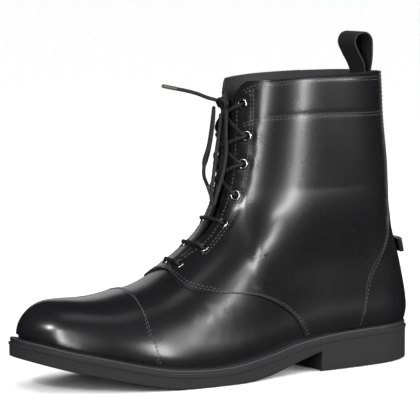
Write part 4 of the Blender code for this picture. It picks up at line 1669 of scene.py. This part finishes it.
@dataclass
class Bottom:
    """Outsole with heel, welt and footbed."""

    boot: Boot
    stations: int = 230
    across: int = 21
    breast_half: float = 36 * MM
    breast_reach: float = 9 * MM
    foot_level: float = 0.0125

    def under(self, x: np.ndarray) -> np.ndarray:
        """Args:
            x: X of places along the sole.

        Returns:
            Height of its underside, heel left out.
        """
        waist = [(at_length(row[0]), row[1] * HEEL_HEIGHT) for row in SOLE_SIDE if row[0] <= BREAST]
        line = smooth_line(waist, 200)
        return np.maximum(np.interp(x, line[:, 0], line[:, 1]), 0.0)

    def _loop(self, pair: np.ndarray) -> np.ndarray:
        """Args:
            pair: Outer and inner line.

        Returns:
            One closed loop without the shared tips.
        """
        return np.concatenate([pair[0], pair[1][-2:0:-1]])

    def build(self) -> None:
        """Builds the three pieces."""
        self._outsole()
        self._welt()
        foot = frame["nodes"]["insole"]
        foot.data.materials.clear()
        foot.data.materials.append(self.boot.palette.foot)

    def _outsole(self) -> None:
        """The moulded sole: lip, side wall, rounded lower edge, breast and underside."""
        breast = at_length(BREAST)
        top = LAST.sole_top
        profile = (
            # inset mm, share of the way down, fixed drop mm
            (2.2, 0.0, 0.0),
            (0.5, 0.0, 0.0),
            (0.12, 0.0, 0.22),
            (0.0, 0.0, 0.6),
            (0.0, 0.0, 1.5),
            (0.15, 0.0, 1.9),
            (0.45, 0.0, 2.15),
            (0.5, 0.0, 2.6),
            (0.5, 0.5, 2.6),
            (0.5, 1.0, -0.9),
            (0.62, 1.0, -0.4),
            (0.95, 1.0, -0.1),
            (1.5, 1.0, 0.0),
        )
        loops = []
        for inset, share, drop in profile:
            pair = ring(inset * MM, lambda x: 0.0 * x, self.stations)
            lines = []
            for line in pair:
                x = line[:, 0]
                cut = int(np.argmax(x > breast))
                line = np.insert(line, cut, [(breast, np.interp(breast, x, line[:, 1]), 0.0)] * 2, 0)
                x = line[:, 0]
                low = self.under(x)
                low[cut + 1 :] = 0.0
                line[:, 2] = top(x) * (1.0 - share) + low * share - drop * MM
                lines.append(line)
            size = min(len(line) for line in lines)
            loops.append(np.array([line[:size] for line in lines]))
        count = loops[0].shape[1]
        flat = [self._loop(pair) for pair in loops]
        size = len(flat[0])
        vertices = list(flat)
        faces = band_faces(len(flat), size)
        faces.append(tuple(range(size)))
        last = loops[-1]
        shares = np.linspace(0.0, 1.0, self.across)
        grid = last[0][:, None] * (1 - shares)[None, :, None] + last[1][:, None] * shares[None, :, None]
        bow = BREAST_HOLLOW * np.clip(1.0 - (grid[..., 1] / self.breast_half) ** 2, 0.0, 1.0)
        near = np.exp(-(((grid[..., 0] - breast) / self.breast_reach) ** 2))
        inside = np.minimum(shares, 1 - shares)[None, :] > 0.01
        grid[..., 0] += np.where(inside, bow * near, 0.0)
        base = len(flat) * size
        vertices.append(grid.reshape(-1, 3))
        for i in range(count - 1):
            for j in range(self.across - 1):
                a = base + i * self.across + j
                faces.append((a, a + 1, a + self.across + 1, a + self.across))
        thing = place_mesh("outsole_rubber", np.concatenate(vertices), faces)
        settle(thing, (self.boot.palette.rubber,), 38.0, 0.02)
        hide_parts("outsole")

    def _inner_ring(self, lift: float, away: float) -> np.ndarray:
        """Args:
            lift: Height above the sole's top.
            away: Distance from the upper.

        Returns:
            A loop beside the upper's foot.
        """
        halves = [LAST.row(self.foot_level, side).even(0.0, math.pi, self.stations) for side in (-1, 1)]
        loop = np.concatenate([halves[0], halves[1][-2:0:-1]])
        ahead = np.roll(loop, -1, 0) - np.roll(loop, 1, 0)
        out = unit(np.stack([ahead[:, 1], -ahead[:, 0], 0 * ahead[:, 0]], 1))
        loop = loop + out * away
        loop[:, 2] = LAST.sole_top(loop[:, 0]) + lift
        return loop

    def _welt(self) -> None:
        """The welt: a flat strip with a groove and a rounded outer bead."""
        thick = WELT_THICK
        edge = [
            # inset mm, height over the sole's top
            (3.3, thick - 0.15 * MM),
            (2.9, thick - 0.55 * MM),
            (2.5, thick - 0.45 * MM),
            (2.1, thick - 0.05 * MM),
            (1.6, thick - 0.05 * MM),
            (1.15, thick - 0.35 * MM),
            (0.95, thick - 0.9 * MM),
            (0.9, thick - 1.6 * MM),
            (1.2, thick - 2.2 * MM),
            (1.1, 0.1 * MM),
        ]
        loops = [self._inner_ring(0.1 * MM, 0.1 * MM), self._inner_ring(thick, 0.1 * MM)]
        for inset, lift in edge:
            pair = ring(inset * MM, lambda x, up=lift: LAST.sole_top(x) + up, self.stations)
            loops.append(self._loop(pair))
        size = len(loops[0])
        faces = band_faces(len(loops), size, True)
        thing = place_mesh("welt_strip", np.concatenate(loops), faces)
        settle(thing, (self.boot.palette.welt,), 50.0)
        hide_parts("welt")


@dataclass
class Rings:
    """The fourteen eyelets."""

    boot: Boot
    profile: tuple = (
        # radius and height over the upper's face, mm
        (3.70, 0.95),
        (3.72, 1.35),
        (3.45, 1.70),
        (2.95, 1.85),
        (2.40, 1.75),
        (2.05, 1.40),
        (1.92, 0.90),
        (1.90, -2.10),
        (2.30, -2.15),
        (2.40, 0.60),
    )

    def build(self) -> None:
        """Spins one ring at each place."""
        work = bmesh.new()
        for centre, out in self.boot.eyelets:
            turn = Vector((0, 0, 1)).rotation_difference(out).to_matrix()
            spots = [centre + turn @ Vector((radius * MM, 0.0, high * MM)) for radius, high in self.profile]
            corners = [work.verts.new(spot) for spot in spots]
            sides = [work.edges.new(pair) for pair in zip(corners, corners[1:] + corners[:1])]
            bmesh.ops.spin(
                work,
                geom=corners + sides,
                cent=centre,
                axis=out,
                angle=2 * math.pi,
                steps=32,
                use_merge=True,
            )
        vertices = np.array([v.co for v in work.verts])
        work.verts.index_update()
        faces = [[v.index for v in f.verts] for f in work.faces]
        work.free()
        thing = place_mesh("eyelet_rings", vertices, faces)
        settle(thing, (self.boot.palette.metal,), 60.0, 0.01)
        for name in ("outer", "inner"):
            for number in range(1, PAIRS + 1):
                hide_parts(f"eyelet_{name}_{number}")


def tube(
    name: str, line: np.ndarray, radius: float, material: bpy.types.Material
) -> bpy.types.Object:
    """A round cord along a line, with a map of length and share of the way round.

    Args:
        name: Object name.
        line: Points in the source frame.
        radius: Half its thickness.
        material: Its finish.

    Returns:
        The object.
    """
    sides = 14
    ahead = unit(np.gradient(line, axis=0))
    side_way = np.array(Vector(ahead[0]).orthogonal().normalized())
    rings = []
    for here, way in zip(line, ahead):
        side_way = unit(side_way - way * (side_way @ way))
        up = np.cross(way, side_way)
        angle = 2 * math.pi * np.arange(sides) / sides
        rings.append(here + radius * (np.cos(angle)[:, None] * side_way + np.sin(angle)[:, None] * up))
    domes = []
    for tip, way, loop in ((line[0], -ahead[0], rings[0]), (line[-1], ahead[-1], rings[-1])):
        domes.append([tip + (loop - tip) * s + way * radius * c for s, c in ((0.8, 0.45), (0.4, 0.75))])
    stack = [domes[0][1], domes[0][0], *rings, domes[1][0], domes[1][1]]
    count = len(stack)
    faces = band_faces(count, sides)
    faces += [tuple(range(sides)), tuple((count - 1) * sides + i for i in reversed(range(sides)))]
    thing = place_mesh(name, np.concatenate(stack), faces)
    mapped = thing.data.uv_layers.new(name="cord_map")
    run = run_of(np.array([loop.mean(0) for loop in stack]))
    for k in range(count - 1):
        for i in range(sides):
            start = thing.data.polygons[k * sides + i].loop_start
            for corner, (ring_at, turn) in enumerate(((k, i), (k, i + 1), (k + 1, i + 1), (k + 1, i))):
                mapped.data[start + corner].uv = (run[ring_at], turn / sides)
    thing.data.materials.append(material)
    thing.data.shade_smooth()
    return thing


BOW = {
    # mm: x from the shaft's front line at the knot, y across, z from the top eyelets
    "lace_knot": (
        (-5.5, 3.0, -2.0),
        (-8.5, 0.5, 1.5),
        (-8.5, -4.0, 3.0),
        (-6.0, -7.0, 0.5),
        (-6.0, -5.0, -3.5),
    ),
    "lace_loop_near": (
        (-7.2, -8.5, -4.0),
        (-7.5, -8.5, -16.0),
        (-8.0, -9.5, -32.0),
        (-11.5, -10.5, -46.0),
        (-16.5, -11.5, -58.0),
        (-19.0, -12.0, -64.0),
        (-19.5, -10.0, -60.0),
        (-16.0, -7.0, -46.0),
        (-12.5, -5.0, -30.0),
        (-9.5, -4.4, -14.0),
        (-9.0, -4.4, -7.0),
    ),
    "lace_loop_far": (
        (-8.5, 5.0, -3.0),
        (-9.0, 6.6, -14.0),
        (-9.5, 10.0, -28.0),
        (-12.0, 11.5, -38.0),
        (-13.5, 9.0, -41.0),
        (-12.5, 6.0, -34.0),
        (-10.8, 3.8, -20.0),
        (-9.8, 3.0, -8.0),
    ),
    "lace_end_up": (
        (-11.5, -2.0, 2.5),
        (-16.0, 1.0, 4.0),
        (-22.0, 3.0, 6.5),
        (-29.0, 5.0, 8.5),
        (-36.0, 6.0, 10.0),
    ),
    "lace_end_down": (
        (-11.5, 0.0, -4.5),
        (-12.5, 0.0, -16.0),
        (-14.5, 0.0, -26.0),
        (-18.0, 0.0, -36.0),
        (-19.0, 0.0, -46.0),
        (-16.5, -0.5, -53.0),
    ),
}


@dataclass
class Laces:
    """The lace: bars below, crossings above, and the bow."""

    boot: Boot
    flange: float = 1.9 * MM
    tip_length: float = 9 * MM
    tip_wall: float = 0.1 * MM
    bars: int = 3
    bar_crown: float = 2.6 * MM
    under_crown: float = 2.0 * MM
    over_crown: float = 4.5 * MM
    shortest_cord: float = 30 * MM
    # share of the way across the throat of a strand's inner points
    shares: tuple = (0.16, 0.3, 0.43, 0.57, 0.7, 0.84)
    # mm out of the eyelet, mm toward the throat
    rise: tuple = ((-2.6, 0.0), (0.4, 0.3), (2.4, 1.4))
    lead: float = 3.4 * MM

    def place(self, index: int) -> tuple:
        """Args:
            index: An eyelet pair from below.

        Returns:
            Its level on the front line and its distance across.
        """
        centre = self.boot.eyelets[index][0]
        half = float(LAST.skin_y(centre.x, centre.z, 1) - LAST.skin_y(centre.x, centre.z, -1)) / 2.0
        levels = np.linspace(0.40, 0.99, 237)
        flat = Vector((centre.x, 0.0, centre.z))
        gaps = [(LAST.across_front(level, half) - flat).xz.length for level in levels]
        return float(levels[int(np.argmin(gaps))]), half

    def over(self, low: int, high: int, share: float, crown: float) -> Vector:
        """Args:
            low: Eyelet pair on the outer side.
            high: Eyelet pair on the inner side.
            share: Share of the way across.
            crown: Height above the upper's face in the middle.

        Returns:
            A point of the strand over the throat.
        """
        (start, half), (end, other) = self.place(low), self.place(high)
        level = start + (end - start) * share
        across = -half + (half + other) * share
        lift = crown + (self.flange + LACE / 2 - crown) * abs(2.0 * share - 1.0) ** 2
        return LAST.across_front(level, across) + LAST.across_normal(level, across) * lift

    def strand(self, name: str, low: int, high: int, crown: float) -> bpy.types.Object:
        """Args:
            name: Object name.
            low: Eyelet pair on the outer side.
            high: Eyelet pair on the inner side.
            crown: Height above the upper's face in the middle.

        Returns:
            A strand out of one eyelet, over the throat and into another.
        """
        first, second = self.boot.eyelets[low], self.boot.eyelets[PAIRS + high]
        inner = [self.over(low, high, share, crown) for share in self.shares]
        ends = []
        for (centre, out), target in ((first, inner[0]), (second, inner[-1])):
            way = target - centre
            way = (way - out * way.dot(out)).normalized()
            end = [centre + out * up * MM + way * ahead * MM for up, ahead in self.rise]
            ends.append([*end, centre + out * (self.flange + LACE / 2) + way * self.lead])
        knots = [*ends[0], *inner, *reversed(ends[1])]
        line = smooth_line([tuple(k) for k in knots], 90)
        return tube(name, line, LACE / 2, self.boot.palette.cord)

    def build(self) -> None:
        """Laces the boot and ties the bow."""
        for number in range(self.bars):
            thing = self.strand(f"lace_bar_cord_{number + 1}", number, number, self.bar_crown)
            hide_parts(f"lace_bar_{number + 1}")
        for low in range(self.bars, PAIRS - 1):
            under = self.strand(f"lace_cross_under_{low + 1}", low, low + 1, self.under_crown)
            self.strand(f"lace_cross_over_{low + 1}", low + 1, low, self.over_crown)
            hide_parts(f"lace_crossing_{low + 1}")
        self._bow()

    def _bow(self) -> None:
        """The knot, its loops, its ends and their tips."""
        high = at_height(EYELETS[-1][1])
        front = float(np.interp(high, LAST.throat_face[:, 1], LAST.throat_face[:, 0]))
        for name, points in BOW.items():
            knots = [(front + a * MM, b * MM, high + c * MM) for a, b, c in points]
            line = smooth_line(knots, 150)
            thing = tube(name + "_cord", line, LACE / 2, self.boot.palette.cord)
            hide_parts(name)
            if name.startswith("lace_end"):
                way = unit(line[-1] - line[-2])
                spots = np.linspace(0.0, self.tip_length, 12)[:, None]
                tip_line = line[-1] + way * (GAP + spots)
                tip_name = name.replace("end", "tip")
                wide = LACE / 2 + self.tip_wall
                tip = tube(tip_name + "_sleeve", tip_line, wide, self.boot.palette.tip)
                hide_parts(tip_name)


TAB_HIGH = 0.397
LOOP_LINE = (
    # mm from the back line at the collar, and above the collar
    (-7.9, -22),
    (-8.6, -12),
    (-9.0, -2),
    (-11.3, 6),
    (-15.5, 13),
    (-18.5, 20),
    (-16.0, 25.0),
    (-9.5, 26.0),
    (-5.4, 22.5),
    (-4.6, 14),
    (-5.0, 6),
    (-5.6, -4),
    (-6.0, -13),
    (-6.2, -22),
)


@dataclass
class Trim:
    """The pull loop and the spur rest."""

    boot: Boot
    loop_width: float = 17 * MM
    loop_thick: float = 1.2 * MM
    loop_flare: float = 0.16
    flare_from: float = -2 * MM
    flare_full: float = 9 * MM
    off_middle: float = 1.0 * MM
    tab_wide: float = 11 * MM
    tab_tall: float = 9 * MM
    tab_thick: float = 2.6 * MM
    tab_stand: float = 3.0 * MM
    tab_slope: float = 1.2 * MM
    tab_bend: float = 28 * MM

    def build(self) -> None:
        """Builds both."""
        self._loop()
        self._rest()

    def _loop(self) -> None:
        """The folded webbing loop."""
        back, top = LAST.back[-1]
        line = smooth_line([(back + a * MM, top + b * MM) for a, b in LOOP_LINE], 110)
        ahead = unit(np.gradient(line, axis=0))
        across = np.linspace(-0.5, 0.5, 19) * self.loop_width
        flare = ease(top + self.flare_from, top + self.flare_full, line[:, 1])
        rows = []
        for (x, z), wide in zip(line, 1.0 + self.loop_flare * flare):
            rows.append([(x, y * wide - self.off_middle, z) for y in across])
        out = [[(-b, 0.0, a) for _ in across] for a, b in ahead]
        half = self.loop_thick / 2
        shell = Shell("pull_loop_web", np.array(rows), half, -half, 0.25 * MM, 4, normals=np.array(out))
        web = self.boot.palette.webbing
        thing = shell.build("webbing", (web, web, web))
        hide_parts("pull_loop")

    def _rest(self) -> None:
        """The leather tab above the heel."""
        z = at_height(TAB_HIGH)
        shares = np.linspace(-1.0, 1.0, 31)
        rows, out = [], []
        for up in np.linspace(-0.5, 0.5, 16):
            height = z + up * self.tab_tall
            back = float(np.interp(height, LAST.back[:, 1], LAST.back[:, 0]))
            face = back + self.tab_stand + self.tab_slope * (up + 0.5)
            across = shares * self.tab_wide
            bow = self.tab_bend - np.sqrt(self.tab_bend**2 - across**2)
            rows.append([(face - b, y - self.off_middle, height) for b, y in zip(bow, across)])
            out.append([unit(np.array((1.0, share * 0.4, 0.1))) for share in shares])
        p = self.boot.palette
        out = np.array(out)
        shell = Shell("spur_tab", np.array(rows), self.tab_thick, -0.6 * MM, 0.5 * MM, 6, normals=out)
        thing = shell.build("tab_leather", (p.upper, p.upper, p.upper))
        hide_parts("spur_rest")


@dataclass(frozen=True)
class Lamp:
    """A soft box aimed at a point of the boot.

    The azimuth is in degrees, 0 on the outer side and growing toward the heel.
    """

    name: str
    azimuth: float
    height: float
    distance: float
    width: float
    tall: float
    power: float
    aim: tuple = (0.0, 0.0, 0.1)

    def build(self) -> None:
        """Adds the lamp."""
        data = bpy.data.lights.new(self.name, "AREA")
        data.shape = "RECTANGLE"
        data.size = self.width
        data.size_y = self.tall
        data.energy = self.power
        lamp = bpy.data.objects.new(self.name, data)
        angle = math.radians(self.azimuth)
        place = (math.sin(angle) * self.distance, -math.cos(angle) * self.distance, self.height)
        aim_at(lamp, place, self.aim)
        bpy.context.scene.collection.objects.link(lamp)


LAMPS = (
    # name, azimuth, height, distance, width, tall, power, aim: two strips for the shaft's streaks,
    # two low ones for the vamp, one behind, one over the toe and one overhead
    Lamp("strip_left", -45.0, 0.30, 1.5, 0.13, 1.3, 18.0),
    Lamp("strip_right", 5.0, 0.30, 1.5, 0.12, 0.7, 13.0),
    Lamp("low_right", 30.0, 0.33, 0.9, 0.42, 0.07, 2.5, (0.0, 0.0, 0.03)),
    Lamp("far_right", 50.0, 0.34, 0.9, 0.26, 0.08, 3.2, (0.0, 0.0, 0.03)),
    Lamp("behind", 165.0, 0.7, 1.6, 0.9, 0.9, 2.5),
    Lamp("toe_left", -64.0, 0.95, 1.3, 0.12, 0.12, 10.0, (-0.1, 0.0, 0.05)),
    Lamp("overhead", -20.0, 1.6, 0.5, 0.5, 0.5, 0.8),
)


@dataclass
class Studio:
    """Floor, lamps and camera."""

    boot: Boot
    camera_at: tuple = (-0.8289, -1.3686, 0.286)
    look_at: tuple = (-0.0048, 0.00288, 0.106)
    lens: float = 212.8
    floor_half: float = 30.0
    sky_power: float = 4.2
    sky_spread: float = 120.0
    surround: tuple = (0.012, 0.012, 0.013, 1.0)

    def build(self) -> None:
        """Sets the scene."""
        scene = bpy.context.scene
        work = bmesh.new()
        bmesh.ops.create_grid(work, x_segments=1, y_segments=1, size=self.floor_half)
        mesh = bpy.data.meshes.new("floor")
        work.to_mesh(mesh)
        work.free()
        mesh.materials.append(self.boot.palette.floor)
        floor = bpy.data.objects.new("floor", mesh)
        floor.location.z = -0.2 * MM
        floor.visible_glossy = False
        scene.collection.objects.link(floor)
        sun = bpy.data.lights.new("soft_sky", "SUN")
        sun.energy = self.sky_power
        sun.angle = math.radians(self.sky_spread)
        sky = bpy.data.objects.new("soft_sky", sun)
        sky.visible_glossy = False
        scene.collection.objects.link(sky)
        for lamp in LAMPS:
            lamp.build()
        world = bpy.data.worlds.new("studio")
        world.use_nodes = True
        world.node_tree.nodes["Background"].inputs["Color"].default_value = self.surround
        world.node_tree.nodes["Background"].inputs["Strength"].default_value = 1.0
        scene.world = world
        data = bpy.data.cameras.new("camera")
        data.lens = self.lens
        data.sensor_width = 36.0
        camera = bpy.data.objects.new("camera", data)
        aim_at(camera, self.camera_at, self.look_at)
        scene.collection.objects.link(camera)
        scene.camera = camera
        scene.view_settings.view_transform = "Standard"
        scene.view_settings.look = "None"


def main() -> None:
    """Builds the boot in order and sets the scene."""
    logging.basicConfig(level=logging.INFO, format="%(name)s: %(message)s")
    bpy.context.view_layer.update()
    for thing in list(bpy.data.objects):
        if thing.name in ("Cube", "Light", "Camera") and thing.parent is None:
            bpy.data.objects.remove(thing)
    boot = Boot(Palette())
    boot.find_eyelets()
    upper = Upper(boot)
    upper.build()
    LOG.info("upper: %s", ", ".join(upper.made))
    Stitching(boot, upper).build()
    LOG.info("stitching done")
    Bottom(boot).build()
    Rings(boot).build()
    Laces(boot).build()
    Trim(boot).build()
    LOG.info("sole, eyelets, laces and trim done")
    Studio(boot).build()


if __name__ == "__main__":
    main()
